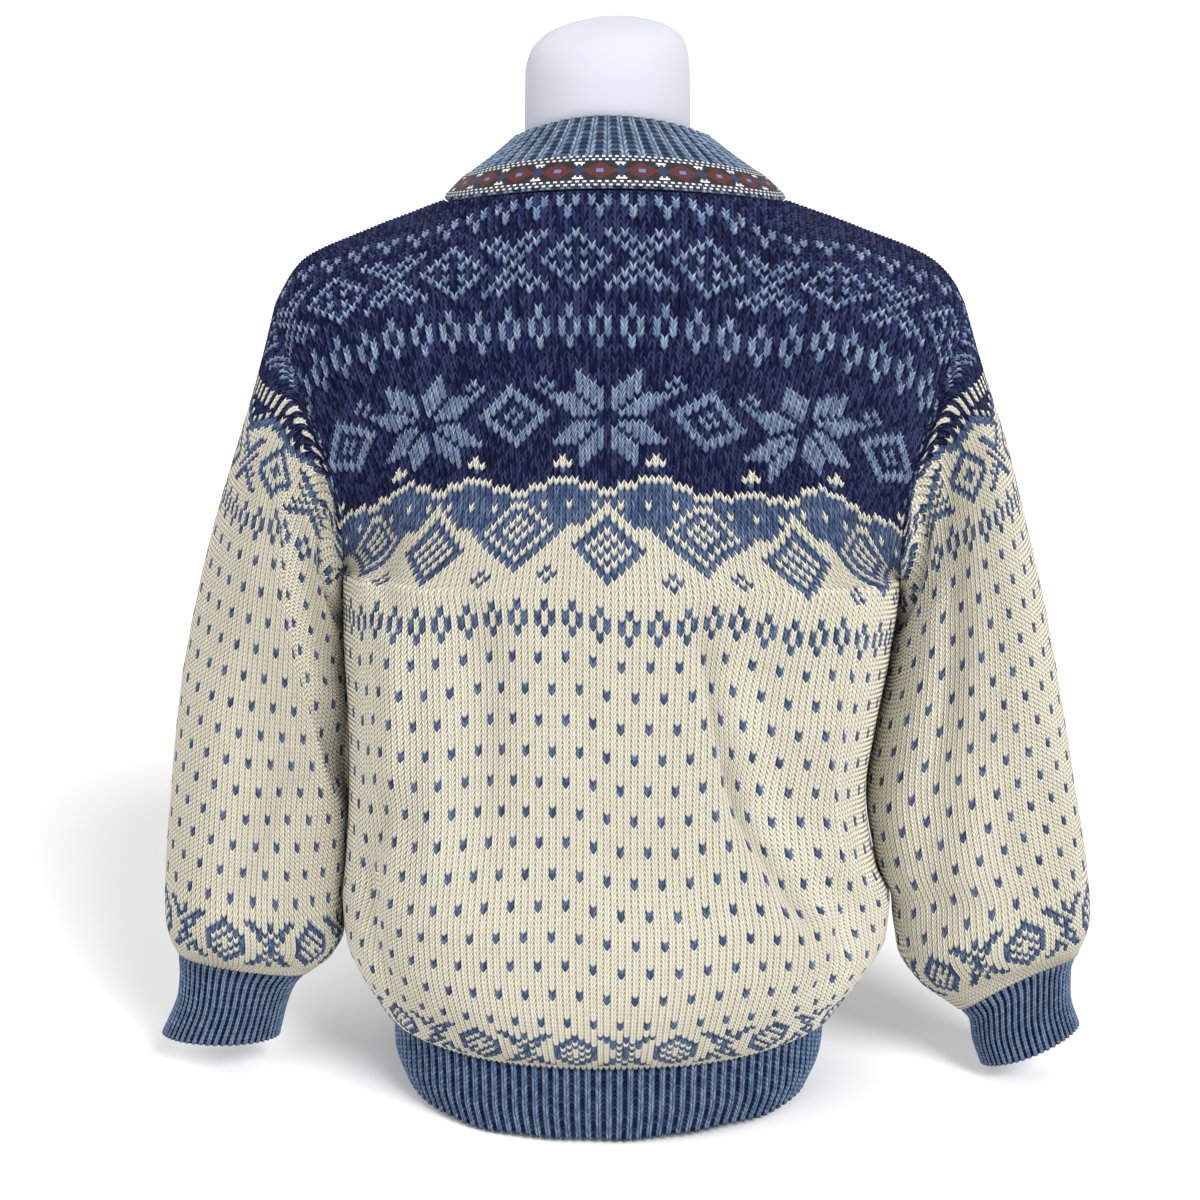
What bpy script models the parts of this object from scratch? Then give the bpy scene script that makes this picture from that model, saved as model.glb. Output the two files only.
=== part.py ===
"""A knitted wool cardigan on a limbless dress form, in metres, +Z up.

The garment's back faces -Y and its buttoned front faces +Y. The dress form stands on its flat base at
the origin. Every cloth piece is a closed wall on a surface that is worked out from the garment's sizes.
The tables are in millimetres.
"""
import functools
import math

import bmesh
import bpy
import numpy as np

MM = 0.001

# Cloth
BODY_WALL = 2.6
RIB_WALL = 2.4
RIBBON_WALL = 0.9
SEAM_GAP = 0.25          # each side of a seam draws back by this much
ARMPIT_GAP = 0.6         # the sleeve draws back this much more at the armpit, where four walls meet
FINE_EDGE_GAP = 1.5      # and a finely divided edge by this much from a coarser one
CUFF_EDGE_GAP = 0.7
LAYER_GAP = 0.45         # between a layer and what it lies on
PANEL_WIDTH = 512.0      # the knitted back, flat, from side to side
PANEL_LENGTH = 600.0     # from the hem rib's seam to the shoulder
ARMPIT = 351.0           # the cloth below the armhole
BAND_HALF = 15.0         # half the width of a front band
NECK_HALF_CLOTH = 115.2  # half the neck opening, measured on the flat panel

# Grid of the solids
EVEN_BELOW = 260.0       # the columns are evenly spaced up to here
SIDE_ROWS = 10           # rows below the armhole, and as many beside it
HALF_COLUMNS = 12        # columns in half a panel
DENSE = 201              # samples along each side of a surface that the grids are read from

# Body: the cloth's height above the rib seam, half widths, depths, and the heights that it reaches.
LEVEL_COLUMNS = ("cloth", "left", "right", "back", "front", "rise_left", "rise_right", "rise_back", "rise_front")
LEVELS = (
    (0, 158, 162, 118, 118, 64, 64, 64, 64),
    (14, 161, 166, 126, 125, 54, 54, 71, 71),
    (36, 170, 176, 134, 132, 67, 66, 91, 91),
    (62, 182, 192, 137.5, 134, 89, 89, 116, 116),
    (84, 189, 203, 138.5, 133, 110, 112, 138, 138),
    (112, 190.5, 205, 139, 131, 139, 141, 167, 167),
    (145, 187, 193, 137, 130, 174, 171, 200, 200),
    (200, 183, 184.5, 135, 129, 230, 224, 256, 255),
    (250, 182, 190, 133, 131, 282, 274, 307, 306),
    (300, 183, 198, 132, 136, 335, 325, 358, 357),
    (351, 182, 203, 132, 140, 388, 381, 410, 409),
    (420, 182, 203, 131, 139, 456, 451, 479, 477),
    (480, 182, 203, 127, 130, 516, 511, 538, 535),
    (540, 182, 203, 115, 105, 561, 561, 596, 589),
    (600, 182, 203, 86, 80, 601, 601, 654, 641),
)
ROUNDNESS = 2.25         # the exponent of a body section, where 2 is an ellipse
SIDE_FALL = 2.6          # how late a course falls towards the side seam
ARMHOLE_OPEN = 0.8       # how much sooner a course ends beside the armhole, in radians

# Shoulder crest, from the neck point to the top of the armhole: half widths and heights.
CREST_COLUMNS = ("cloth", "left", "right", "height")
CREST = (
    (115.2, 108, 119, 645),
    (168, 160, 173, 625),
    (216, 201.5, 217, 606),
    (240, 215, 233, 589),
    (256, 223, 241, 572),
)
ARMHOLE_DEPTH = 66.0     # half the armhole, front to back
ARMHOLE_INSET = 20.0     # how far the seam bows towards the body halfway up
BACK_NECK_DEPTH = 80.0
BACK_NECK_RISE = 18.0    # the back of the neck line above the neck points
FRONT_NECK_DEPTH = 96.0
FRONT_NECK_DROP = 44.0
NECK_FALL = 1.6          # how late the neck line leaves the neck points' height
FRONT_NECK_CUT = 58.0    # cloth cut away at the centre of the front neck
SOFTENING = 0.45         # how fast the neck line's corners round off down the panel
CREST_EASE = (1.0, 1.35, 0.75)   # the surface turns late along Y and early along Z: a round shoulder
CREST_TURN = 135.0       # the length of cloth that turns from the panel to the shoulder

# Sleeves: the cloth's length from the armhole, the outer line, the inner line's gap to the body's side
# and its height, the half depth, and the shift along Y. Cuffs have their inner line's own place.
SLEEVE_COLUMNS = ("cloth", "out_x", "out_z", "gap", "in_z", "depth", "shift")
SLEEVES = {
    "left": (
        (0, 223, 572, 0, 388, 66, 0),
        (48, 234.5, 531, 1.4, 377, 71, 0),
        (100, 249.5, 485, 1, 361, 75, 0),
        (158, 268, 431, 1, 337, 75, 0),
        (225, 286, 366, 1, 302, 71, -2),
        (291, 300, 301, 1, 257, 66, -3),
        (364, 310, 230, 1, 200, 62, -4),
        (433, 318, 162, 1.2, 144, 57, -5),
        (465, 320, 130, 2.5, 114, 53, -5),
        (486, 317, 108, 17, 95, 42, -5),
        (497, 312, 100, 39, 83, 30, -5),
    ),
    "right": (
        (0, 241, 572, 0, 381, 66, 0),
        (48, 253.5, 533, 2, 371, 71, 0),
        (100, 270.5, 486, 1.8, 356, 74, 0),
        (158, 286.5, 432, 1.8, 336, 73, -2),
        (225, 304.5, 366, 1.8, 299, 70, -4),
        (291, 319, 301, 1.6, 258, 66, -7),
        (364, 333.5, 230, 2, 201, 60, -10),
        (433, 346, 164, 2.2, 142, 54, -13),
        (465, 349.5, 132, 9, 109, 50, -14),
        (486, 346, 113, 43, 79, 40, -15),
        (497, 342, 103, 88, 58, 28, -15),
    ),
}
CUFF_COLUMNS = ("cloth", "out_x", "out_z", "in_x", "in_z", "depth", "shift")
CUFFS = {
    "left": (
        (0, 312, 100, 218.5, 83, 30, -5),
        (14, 312, 85, 229, 72, 24, -5),
        (36, 314, 65, 236, 56, 22, -5),
        (68, 328, 30, 243, 29, 20, -5),
    ),
    "right": (
        (0, 342, 103, 258, 58, 28, -15),
        (14, 338, 90, 268, 47, 24, -15),
        (36, 339, 68, 271, 31, 22, -15),
        (60, 347, 43, 278, 11, 21, -15),
    ),
}
UNDERARM_FALL = 2.4      # how late a sleeve's course falls towards the underarm
UNDERARM_EASE = 60.0     # the cloth over which that sets in down a sleeve, and fades out down a cuff
SLEEVE_ROWS = 18
CUFF_RIBS = 48

# Hem rib: height above the floor, half widths and depths.
HEM_COLUMNS = ("height", "left", "right", "back", "front")
HEM = (
    (64, 158, 162, 118, 118),
    (56, 155.5, 159.5, 117.5, 117),
    (30, 155, 158, 117, 116),
    (5, 148, 149, 113.5, 112),
)
HEM_RIBS = 126
RIB_RISE = 1.3           # how far a rib stands out of its wall

# Collar: share of its height, half widths, back and front depths, and heights at the back, side and front.
COLLAR_COLUMNS = ("share", "left", "right", "back", "front", "rise_back", "rise_side", "rise_front")
COLLAR = (
    (0, 108, 119, 80, 96, 663, 645, 601),
    (0.33, 94, 104, 73, 92, 680, 659, 614),
    (0.68, 74, 83, 64.5, 85, 695, 674, 628),
    (1, 59, 66, 58.5, 77, 707, 687, 639),
)
COLLAR_RIBS = 52
COLLAR_SLIT = 1.5        # half the gap between the collar's ends
RIBBON_LIFT = 0.7        # the ribbon's clearance over the finer curve of the collar
RIBBON_START = 0.05      # where the ribbon starts on the collar, as a share of its height
RIBBON_SHARE = 0.40      # the part of the collar that the ribbon covers at the back

# Folds: start and end on the flat cloth, the width on each side of the line, and the depth.
# Body folds run on (distance from the centre to the right, height above the seam).
FOLD_COLUMNS = ("start_x", "start_y", "end_x", "end_y", "near", "far", "depth")
BACK_FOLDS = (
    (84, 390, 106, 270, 24, 50, -8),
    (104, 285, 148, 165, 24, 46, -11),
    (156, 150, 192, 98, 20, 26, -8),
    (-92, 345, -84, 160, 26, 30, -6),
    (-150, 205, -196, 110, 20, 24, -7),
    (20, 330, 34, 120, 34, 30, -4),
    (-30, 210, -20, 60, 26, 26, -4),
)
FRONT_FOLDS = (
    (96, 370, 138, 170, 24, 36, -13),
    (130, 190, 176, 96, 16, 28, -11),
    (-98, 360, -132, 180, 34, 22, -12),
    (-140, 200, -188, 104, 26, 16, -9),
    (-62, 240, -50, 90, 22, 24, -5),
)
# Sleeve folds run on (degrees round from the underarm by the back, length from the armhole).
SLEEVE_FOLDS = {
    "left": (
        (86, 40, 34, 200, 30, 26, -13),
        (44, 190, 14, 320, 26, 22, -8),
        (92, 210, 34, 450, 24, 28, -6),
        (140, 120, 128, 260, 24, 24, -4),
        (262, 70, 318, 240, 22, 26, -12),
        (230, 250, 296, 430, 24, 24, -6),
    ),
    "right": (
        (84, 40, 58, 150, 26, 26, -10),
        (70, 170, 50, 440, 20, 28, -7),
        (104, 300, 62, 372, 22, 20, -4),
        (128, 330, 116, 450, 24, 26, -4),
        (266, 60, 312, 230, 24, 22, -12),
        (236, 240, 290, 430, 24, 24, -6),
    ),
}

# Dress form: height, half width, back and front depths, and how far it leans to the right.
FORM_COLUMNS = ("height", "half", "back", "front", "lean")
FORM = (
    (0, 138, 96, 95, 0),
    (50, 143, 100, 99, 0),
    (120, 142, 98, 96, 0),
    (200, 130, 90, 90, 0),
    (260, 124, 86, 90, 0),
    (330, 134, 92, 102, 0),
    (400, 148, 100, 116, 1),
    (450, 155, 103, 113, 2),
    (510, 164, 99, 97, 4),
    (550, 173, 88, 80, 6),
    (575, 178, 74, 66, 6),
    (593, 179, 60, 54, 6),
    (606, 177, 48, 44, 6),
    (615, 172, 43, 38, 6),
    (621.5, 166, 41, 32, 6),
    (641.5, 113, 43, 20, 5.5),
    (651, 89, 50, 36, 4),
    (662, 67, 54, 48, 2),
    (680, 55, 54, 54, 0.5),
    (727, 54, 54, 54, 0.5),
    (741, 51.5, 51.5, 51.5, 1.5),
    (752, 44, 44, 44, 4),
    (759, 30, 30, 30, 6),
    (763, 13, 13, 13, 7),
)
FORM_SIDES = 28

BUTTON_COUNT = 7
BUTTON_RADIUS = 9.0
BUTTON_SIDES = 14
BUTTON_PROFILE = ((0.0, 1.0), (2.0, 1.0), (3.2, 0.86), (3.9, 0.45))   # height, share of the radius
FIRST_BUTTON, LAST_BUTTON = 26.0, 575.0

COLOURS = {  # base colour, roughness, metallic
    "knit": ((0.72, 0.67, 0.53), 0.95, 0.0),
    "rib": ((0.10, 0.17, 0.30), 0.95, 0.0),
    "ribbon": ((0.10, 0.02, 0.02), 0.85, 0.0),
    "button": ((0.42, 0.41, 0.38), 0.45, 0.9),
    "form": ((0.75, 0.76, 0.80), 0.9, 0.0),
}


def column(table, names, name):
    return np.array([row[names.index(name)] for row in table], float)


def line_through(stations, values, at):
    """A smooth line through a table's column, which never overshoots it."""
    step = np.diff(stations)
    slope = np.diff(values) / step
    turn = np.zeros(len(stations))
    both = slope[1:] * slope[:-1]
    mean = slope[1:] + slope[:-1]
    turn[1:-1] = np.where(both > 0, 2 * both / np.where(mean == 0, 1, mean), 0)
    turn[0], turn[-1] = slope[0], slope[-1]
    at = np.clip(np.asarray(at, float), stations[0], stations[-1])
    i = np.clip(np.searchsorted(stations, at, side="right") - 1, 0, len(step) - 1)
    t = (at - stations[i]) / step[i]
    keep, carry = t * t * (2 * t - 3) + 1, t * t * (3 - 2 * t)
    ease_in, ease_out = t * (1 - t) ** 2, t * t * (t - 1)
    return (keep * values[i] + carry * values[i + 1]
            + step[i] * (ease_in * turn[i] + ease_out * turn[i + 1]))


def read(table, names, at):
    """Every column of a table at these values of its first one, as a dictionary."""
    stations = column(table, names, names[0])
    return {name: line_through(stations, column(table, names, name), at) for name in names[1:]}


def smoothstep(t):
    t = np.clip(t, 0, 1)
    return t * t * (3 - 2 * t)


def fold_height(folds, x, y, scale_x=1.0):
    """The sum of the folds at points of the flat cloth. Each fades out at both its ends."""
    height = np.zeros(np.shape(x))
    for row in folds:
        fold = dict(zip(FOLD_COLUMNS, row))
        run = np.array([(fold["end_x"] - fold["start_x"]) * scale_x, fold["end_y"] - fold["start_y"]])
        length = np.hypot(*run)
        run = run / length
        dx, dy = (x - fold["start_x"]) * scale_x, y - fold["start_y"]
        along = (dx * run[0] + dy * run[1]) / length
        across = dx * abs(run[1]) - dy * run[0] * np.sign(run[1])
        width = np.where(across < 0, fold["near"], fold["far"])
        ends = smoothstep((along + 0.25) / 0.5) * smoothstep((1.25 - along) / 0.5)
        height += fold["depth"] * ends * np.exp(-((across / width) ** 2))
    return height


def normals_of(points):
    """Unit normals of a grid of points, on the side to which rows cross columns."""
    down = np.gradient(points, axis=0)
    across = np.gradient(points, axis=1)
    normal = np.cross(across, down)
    return normal / np.maximum(np.linalg.norm(normal, axis=2, keepdims=True), 1e-9)


def armhole(side, turn, face):
    """The armhole seam. turn is 0 at the armpit and pi at the shoulder, and face is -1 at the back."""
    level = read(LEVELS, LEVEL_COLUMNS, ARMPIT)
    crest = read(CREST, CREST_COLUMNS, CREST[-1][0])
    sign = -1 if side == "left" else 1
    share = (1 - np.cos(turn)) / 2
    x = level[side] + (crest[side] - level[side]) * share - ARMHOLE_INSET * np.sin(turn) ** 2
    z = level["rise_" + side] + (crest["height"] - level["rise_" + side]) * share
    return sign * x, face * ARMHOLE_DEPTH * np.sin(turn), z


def crest_line(shares, face):
    """The top edge of a panel: shoulder crest outside the neck points, and neck line between them."""
    cloth = np.abs(shares) * PANEL_WIDTH / 2
    crest = read(CREST, CREST_COLUMNS, cloth)
    half = np.where(shares < 0, crest["left"], crest["right"])
    neck_half = np.where(shares < 0, CREST[0][1], CREST[0][2])
    inside = np.clip(cloth / NECK_HALF_CLOTH, 0, 1)
    x = np.where(inside < 1, inside * neck_half, half) * np.sign(shares)
    turn = np.sqrt(1 - inside ** 2)
    fall = turn ** NECK_FALL
    if face < 0:
        return x, -BACK_NECK_DEPTH * turn, crest["height"] + BACK_NECK_RISE * fall
    return x, FRONT_NECK_DEPTH * turn, crest["height"] - FRONT_NECK_DROP * fall


def top_of(shares, face):
    """How much cloth each wale of a panel has, from the rib seam to its top edge."""
    inside = np.clip(np.abs(shares) * PANEL_WIDTH / 2 / NECK_HALF_CLOTH, 0, 1)
    return PANEL_LENGTH - (FRONT_NECK_CUT if face > 0 else 0) * np.sqrt(1 - inside ** 2)


def softened(line, distances):
    """The top edge, ever rounder at its corners with each point's distance below it."""
    count = len(line)
    before = line[0] + (line[0] - line[1]) * np.arange(count, 0, -1)[:, None]
    after = line[-1] + (line[-1] - line[-2]) * np.arange(1, count + 1)[:, None]
    longer = np.concatenate([before, line, after])
    places = np.arange(len(longer)) - count
    spread = np.maximum(distances * SOFTENING / (PANEL_WIDTH / (count - 1)), 0.2)
    gap = (places[None, None] - np.arange(count)[None, :, None]) / spread[:, :, None]
    weight = np.exp(-0.5 * gap ** 2)
    weight /= weight.sum(axis=2, keepdims=True)
    return weight @ longer


@functools.lru_cache(maxsize=None)
def body_surface(face):
    """The outer surface of the back (face -1) or the fronts (face 1) as a dense grid of points."""
    shares = np.linspace(-1, 1, DENSE)
    cloths = np.linspace(0, PANEL_LENGTH, DENSE)
    depth_name = "back" if face < 0 else "front"
    levels = read(LEVELS, LEVEL_COLUMNS, cloths)
    points = np.zeros((DENSE, DENSE, 3))
    for row, cloth in enumerate(cloths):
        turn = math.pi * max(cloth - ARMPIT, 0) / (PANEL_LENGTH - ARMPIT)
        bend = np.linspace(0, math.pi / 2 - ARMHOLE_OPEN * np.sin(turn), 160)
        across = np.sin(bend) ** (2 / ROUNDNESS)
        inward = np.cos(bend) ** (2 / ROUNDNESS)
        middle = levels["rise_" + depth_name][row]
        depth = levels[depth_name][row]
        for side in ("left", "right"):
            if cloth < ARMPIT:
                sign = -1 if side == "left" else 1
                edge = (sign * levels[side][row], 0.0, levels["rise_" + side][row])
            else:
                edge = armhole(side, turn, face)
            x = edge[0] * across / across[-1]
            y = edge[1] + (face * depth - edge[1]) * (inward - inward[-1]) / (1 - inward[-1])
            run = np.concatenate([[0], np.cumsum(np.hypot(np.diff(x), np.diff(y)))])
            run /= run[-1]
            here = shares <= 0 if side == "left" else shares >= 0
            u = np.abs(shares[here])
            points[row, here, 0] = np.interp(u, run, x)
            points[row, here, 1] = np.interp(u, run, y)
            points[row, here, 2] = middle + (edge[2] - middle) * u ** SIDE_FALL
    reach = top_of(shares, face)
    top = softened(np.stack(crest_line(shares, face), axis=1), reach[None] - cloths[:, None])
    turn_length = (CREST_TURN * (1 - np.abs(shares) ** 5) + 0.01)[None]
    turned = smoothstep((cloths[:, None] - reach[None]) / turn_length + 1)[..., None]
    shoulder = smoothstep((np.abs(shares) - 0.38) / 0.16)[None, :, None]
    turned = turned ** (1 + (np.array(CREST_EASE) - 1) * shoulder)
    points = points * (1 - turned) + top * turned
    folds = BACK_FOLDS if face < 0 else FRONT_FOLDS
    flat_x, flat_y = np.meshgrid(shares * PANEL_WIDTH / 2, cloths)
    rise = fold_height(folds, flat_x, flat_y) * smoothstep((1 - np.abs(shares)) / 0.12)[None]
    return points + normals_of(points) * -face * rise[..., None]


def sample(surface, columns, rows):
    """Points of a dense grid at fractions 0 to 1 of its columns and rows."""
    last = np.array(surface.shape[:2]) - 1
    r, c = np.clip(rows, 0, 1) * last[0], np.clip(columns, 0, 1) * last[1]
    i, j = np.minimum(r.astype(int), last[0] - 1), np.minimum(c.astype(int), last[1] - 1)
    u, w = (r - i)[..., None], (c - j)[..., None]
    return ((surface[i, j] * (1 - w) + surface[i, j + 1] * w) * (1 - u)
            + (surface[i + 1, j] * (1 - w) + surface[i + 1, j + 1] * w) * u)


def side_line(side, heights):
    """How far the body's side seam is from the centre at these heights."""
    cloths = np.linspace(20, ARMPIT, 120)
    level = read(LEVELS, LEVEL_COLUMNS, cloths)
    return np.interp(heights, level["rise_" + side], level[side])


@functools.lru_cache(maxsize=None)
def tube_surface(side, cuff=False):
    """A sleeve or a cuff as a dense grid: rows run along it and columns go round from the underarm."""
    sign = -1 if side == "left" else 1
    table = CUFFS[side] if cuff else SLEEVES[side]
    length = table[-1][0]
    cloths = np.linspace(0, length, DENSE)
    turns = np.linspace(0, 2 * math.pi, DENSE)
    names = CUFF_COLUMNS if cuff else SLEEVE_COLUMNS
    at = {k: v[:, None] for k, v in read(table, names, cloths).items()}
    if not cuff:
        at["in_x"] = side_line(side, at["in_z"]) + at["gap"]
    outward = ((1 - np.cos(turns)) / 2)[None]
    eased = 1 - cloths / UNDERARM_EASE if cuff else cloths / UNDERARM_EASE
    fall = 1 + (UNDERARM_FALL - 1) * smoothstep(eased)[:, None]
    x = at["in_x"] + (at["out_x"] - at["in_x"]) * outward
    if not cuff:
        x = x - ARMHOLE_INSET * np.sin(turns)[None] ** 2 * smoothstep(1 - cloths / 90)[:, None]
    y = at["shift"] - at["depth"] * np.sin(turns)[None]
    z = at["out_z"] + (at["in_z"] - at["out_z"]) * (1 - outward) ** fall
    points = np.stack(np.broadcast_arrays(sign * x, y, z), axis=2)
    if cuff:
        return points
    middle = np.stack(np.broadcast_arrays(
        sign * (at["in_x"] + at["out_x"]) / 2, at["shift"], z), axis=2)
    away = points - middle
    away /= np.maximum(np.linalg.norm(away, axis=2, keepdims=True), 1e-9)
    flat_x, flat_y = np.meshgrid(np.degrees(turns), cloths)
    per_degree = 430 / 360
    rise = fold_height(SLEEVE_FOLDS[side], flat_x, flat_y, per_degree)
    rise *= smoothstep(flat_y / 40) * smoothstep((length - flat_y) / 50)
    return points + away * rise[..., None]


def panel_rows():
    """The cloth's heights at which the solids have a row of points."""
    stations = column(LEVELS, LEVEL_COLUMNS, "cloth")
    beside = np.linspace(ARMPIT, PANEL_LENGTH, SIDE_ROWS + 1)[1:]
    return np.concatenate([stations[stations <= ARMPIT], beside])


def cut_to_reach(cloths, shares, face):
    """A panel's rows, drawn together above the armpit where the neck is cut away."""
    reach = top_of(shares, face)
    above = ARMPIT + (cloths - ARMPIT) * (reach - ARMPIT) / (PANEL_LENGTH - ARMPIT)
    return np.where(cloths > ARMPIT, above, cloths)


def panel_columns(first, last):
    """Shares of a panel's width in each row: even below, then evenly round the neck opening."""
    neck = NECK_HALF_CLOTH / (PANEL_WIDTH / 2)
    inside = neck * np.sin(np.linspace(0, math.pi / 2, HALF_COLUMNS // 2 + 1))
    half = np.concatenate([inside, np.linspace(neck, 1, HALF_COLUMNS // 2 + 1)[1:]])
    both = np.concatenate([-half[:0:-1], half])
    kept = both[(both > first + 0.02) & (both < last - 0.02)]
    neat = np.concatenate([[first], kept, [last]])
    even = np.linspace(first, last, len(neat))
    upper = smoothstep((panel_rows() - EVEN_BELOW) / (PANEL_LENGTH - 60 - EVEN_BELOW))[:, None]
    return even * (1 - upper) + neat * upper


def panel_grid(face, first, last):
    """A panel's outer points and normals from one share of its width to another. Rows run up."""
    surface = body_surface(face)
    normal = normals_of(surface) * -face
    cloths = panel_rows()
    share_grid = panel_columns(first, last)
    shares = share_grid[-1]
    neck = NECK_HALF_CLOTH / (PANEL_WIDTH / 2)
    cloth_grid = np.broadcast_to(cloths[:, None], share_grid.shape)
    kept = cut_to_reach(cloth_grid, share_grid, face)
    where = ((share_grid + 1) / 2, kept / PANEL_LENGTH)
    points, normal = sample(surface, *where), sample(normal, *where)
    for edge, side in ((0, "left"), (-1, "right")):
        if abs(shares[edge]) < 1:
            continue
        normal[cloths < ARMPIT, edge, 1] = 0        # the side seam's two walls meet squarely
        turns = math.pi * (cloths[cloths >= ARMPIT] - ARMPIT) / (PANEL_LENGTH - ARMPIT)
        normal[cloths >= ARMPIT, edge] = armhole_normals(side, turns, face)
    outside = np.abs(shares) >= neck - 1e-6
    normal[-1, outside, 1] = 0                      # and so do the shoulder seam's
    across = np.clip(points[-1, ~outside, 0] / neck_half(points[-1, ~outside, 0]), -1, 1)
    angles = math.pi + np.arcsin(across) if face < 0 else 2 * math.pi - np.arcsin(across)
    normal[-1, ~outside] = collar_normals(angles)   # the neck edge faces as the collar does
    return points, unit(normal)


def unit(vectors):
    return vectors / np.maximum(np.linalg.norm(vectors, axis=-1, keepdims=True), 1e-9)


def armhole_normals(side, turns, face):
    """Which way the seam between a panel and a sleeve faces: the mean of the two walls."""
    sign = -1 if side == "left" else 1
    knots = np.linspace(0, math.pi, SIDE_ROWS + 1)
    surface = body_surface(face)
    panel = normals_of(surface)[:, -1 if side == "right" else 0] * -face
    rows = (ARMPIT + (PANEL_LENGTH - ARMPIT) * knots / math.pi) / PANEL_LENGTH * (DENSE - 1)
    tube = tube_surface(side)
    tube_normal = unit(np.cross(ring_gradient(tube), np.gradient(tube, axis=0)))[0] * -sign
    columns = (knots if face < 0 else 2 * math.pi - knots) / (2 * math.pi) * (DENSE - 1)
    mean = np.zeros((len(knots), 3))
    for axis in range(3):
        mean[:, axis] = (np.interp(rows, np.arange(DENSE), panel[:, axis])
                         + np.interp(columns, np.arange(DENSE), tube_normal[:, axis]))
    mean[[0, -1], 1] = 0
    mean = unit(mean)
    mean[1:-1] = (mean[:-2] + 2 * mean[1:-1] + mean[2:]) / 4     # no sudden twist in the seam
    return unit(np.stack([np.interp(turns, knots, mean[:, axis]) for axis in range(3)], axis=1))


def ring_gradient(points):
    """Differences round a closed tube whose last column repeats its first."""
    open_ring = points[:, :-1]
    step = (np.roll(open_ring, -1, axis=1) - np.roll(open_ring, 1, axis=1)) / 2
    return np.concatenate([step, step[:, :1]], axis=1)


def sleeve_grid(side):
    sign = -1 if side == "left" else 1
    surface = tube_surface(side)
    normal = unit(np.cross(ring_gradient(surface), np.gradient(surface, axis=0))) * -sign
    rows = np.linspace(0, 1, SLEEVE_ROWS + 1)
    turns = np.linspace(0, 1, 2 * SIDE_ROWS + 1)[:-1]
    turn_grid, row_grid = np.meshgrid(turns, rows)
    points, normal = sample(surface, turn_grid, row_grid), sample(normal, turn_grid, row_grid)
    angles = turns * 2 * math.pi
    back = angles <= math.pi + 1e-6
    normal[0, back] = armhole_normals(side, angles[back], -1)
    normal[0, ~back] = armhole_normals(side, 2 * math.pi - angles[~back], 1)
    return points, unit(normal)


def cuff_grid(side):
    sign = -1 if side == "left" else 1
    surface = tube_surface(side, cuff=True)
    normal = unit(np.cross(ring_gradient(surface), np.gradient(surface, axis=0))) * -sign
    rows = np.array([0.0, 0.14, 0.5, 0.93, 1.0])
    turns = np.linspace(0, 1, 2 * CUFF_RIBS + 1)[:-1]
    turn_grid, row_grid = np.meshgrid(turns, rows)
    points, normal = sample(surface, turn_grid, row_grid), sample(normal, turn_grid, row_grid)
    raise_ribs(points, normal, (0.0, 1.0, 1.0, 1.0, 0.3))
    return points, normal


def raise_ribs(points, normal, shares):
    """Lift every second column by the rib's height times each row's share of it."""
    lift = np.zeros(points.shape[:2])
    lift[:, 1::2] = RIB_RISE
    points += normal * (lift * np.array(shares)[:, None])[..., None]


def ring(level, angles):
    """Points of an oval ring: the angle is 0 at the centre front and pi at the centre back."""
    depth = np.where(np.cos(angles) > 0, level["front"], level["back"])
    half = np.where(np.sin(angles) > 0, level["left"], level["right"])
    power = 2 / ROUNDNESS
    x = -half * np.sign(np.sin(angles)) * np.abs(np.sin(angles)) ** power
    y = depth * np.sign(np.cos(angles)) * np.abs(np.cos(angles)) ** power
    return x, y


def panel_ring_angles():
    """Where the panels' columns end on the hem's ring."""
    level = read(LEVELS, LEVEL_COLUMNS, 0.0)
    found = []
    for face in (1, -1):
        shares = panel_columns(-1.0, 1.0)[0]
        points = sample(body_surface(face), (shares[None] + 1) / 2, np.zeros((1, len(shares))))[0]
        half = np.where(points[:, 0] < 0, level["left"], level["right"])
        depth = level["front"] if face > 0 else level["back"]
        across = np.abs(points[:, 0] / half) ** (ROUNDNESS / 2)
        along = np.abs(points[:, 1] / depth) ** (ROUNDNESS / 2)
        found.append(np.arctan2(-np.sign(points[:, 0]) * across, face * along) % (2 * math.pi))
    return np.unique(np.round(np.concatenate([[0, 2 * math.pi], *found]), 5))


def hem_grid():
    """The hem rib, from its seam down, from the left front edge by the back to the right."""
    rows = np.array([64, 56, 30, 5])
    table = HEM[::-1]
    seam = read(table, HEM_COLUMNS, rows[0])
    knots = panel_ring_angles()
    x, y = ring(seam, knots)
    run = np.concatenate([[0], np.cumsum(np.hypot(np.diff(x), np.diff(y)))])
    slit = BAND_HALF * band_scale() + FINE_EDGE_GAP
    places = np.linspace(slit, run[-1] - slit, 2 * HEM_RIBS + 1)
    points = np.zeros((len(rows), len(places), 3))
    for i, height in enumerate(rows):
        x, y = ring(read(table, HEM_COLUMNS, height), knots)
        points[i, :, 0] = np.interp(places, run, x)
        points[i, :, 1] = np.interp(places, run, y)
        points[i, :, 2] = height
    normal = unit(np.cross(np.gradient(points, axis=0), np.gradient(points, axis=1)))
    flat = points.copy()
    raise_ribs(points, normal, (0.0, 1.0, 1.0, 0.8))
    points[:, :3], points[:, -3:] = flat[:, :3], flat[:, -3:]      # plain under the bands' edges
    return points, normal


def band_scale():
    """How much narrower the front bands are than on the flat cloth, at the rib's seam."""
    return body_surface(1)[0, DENSE // 2 + 10, 0] / (10 / (DENSE // 2) * PANEL_WIDTH / 2)


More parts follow.
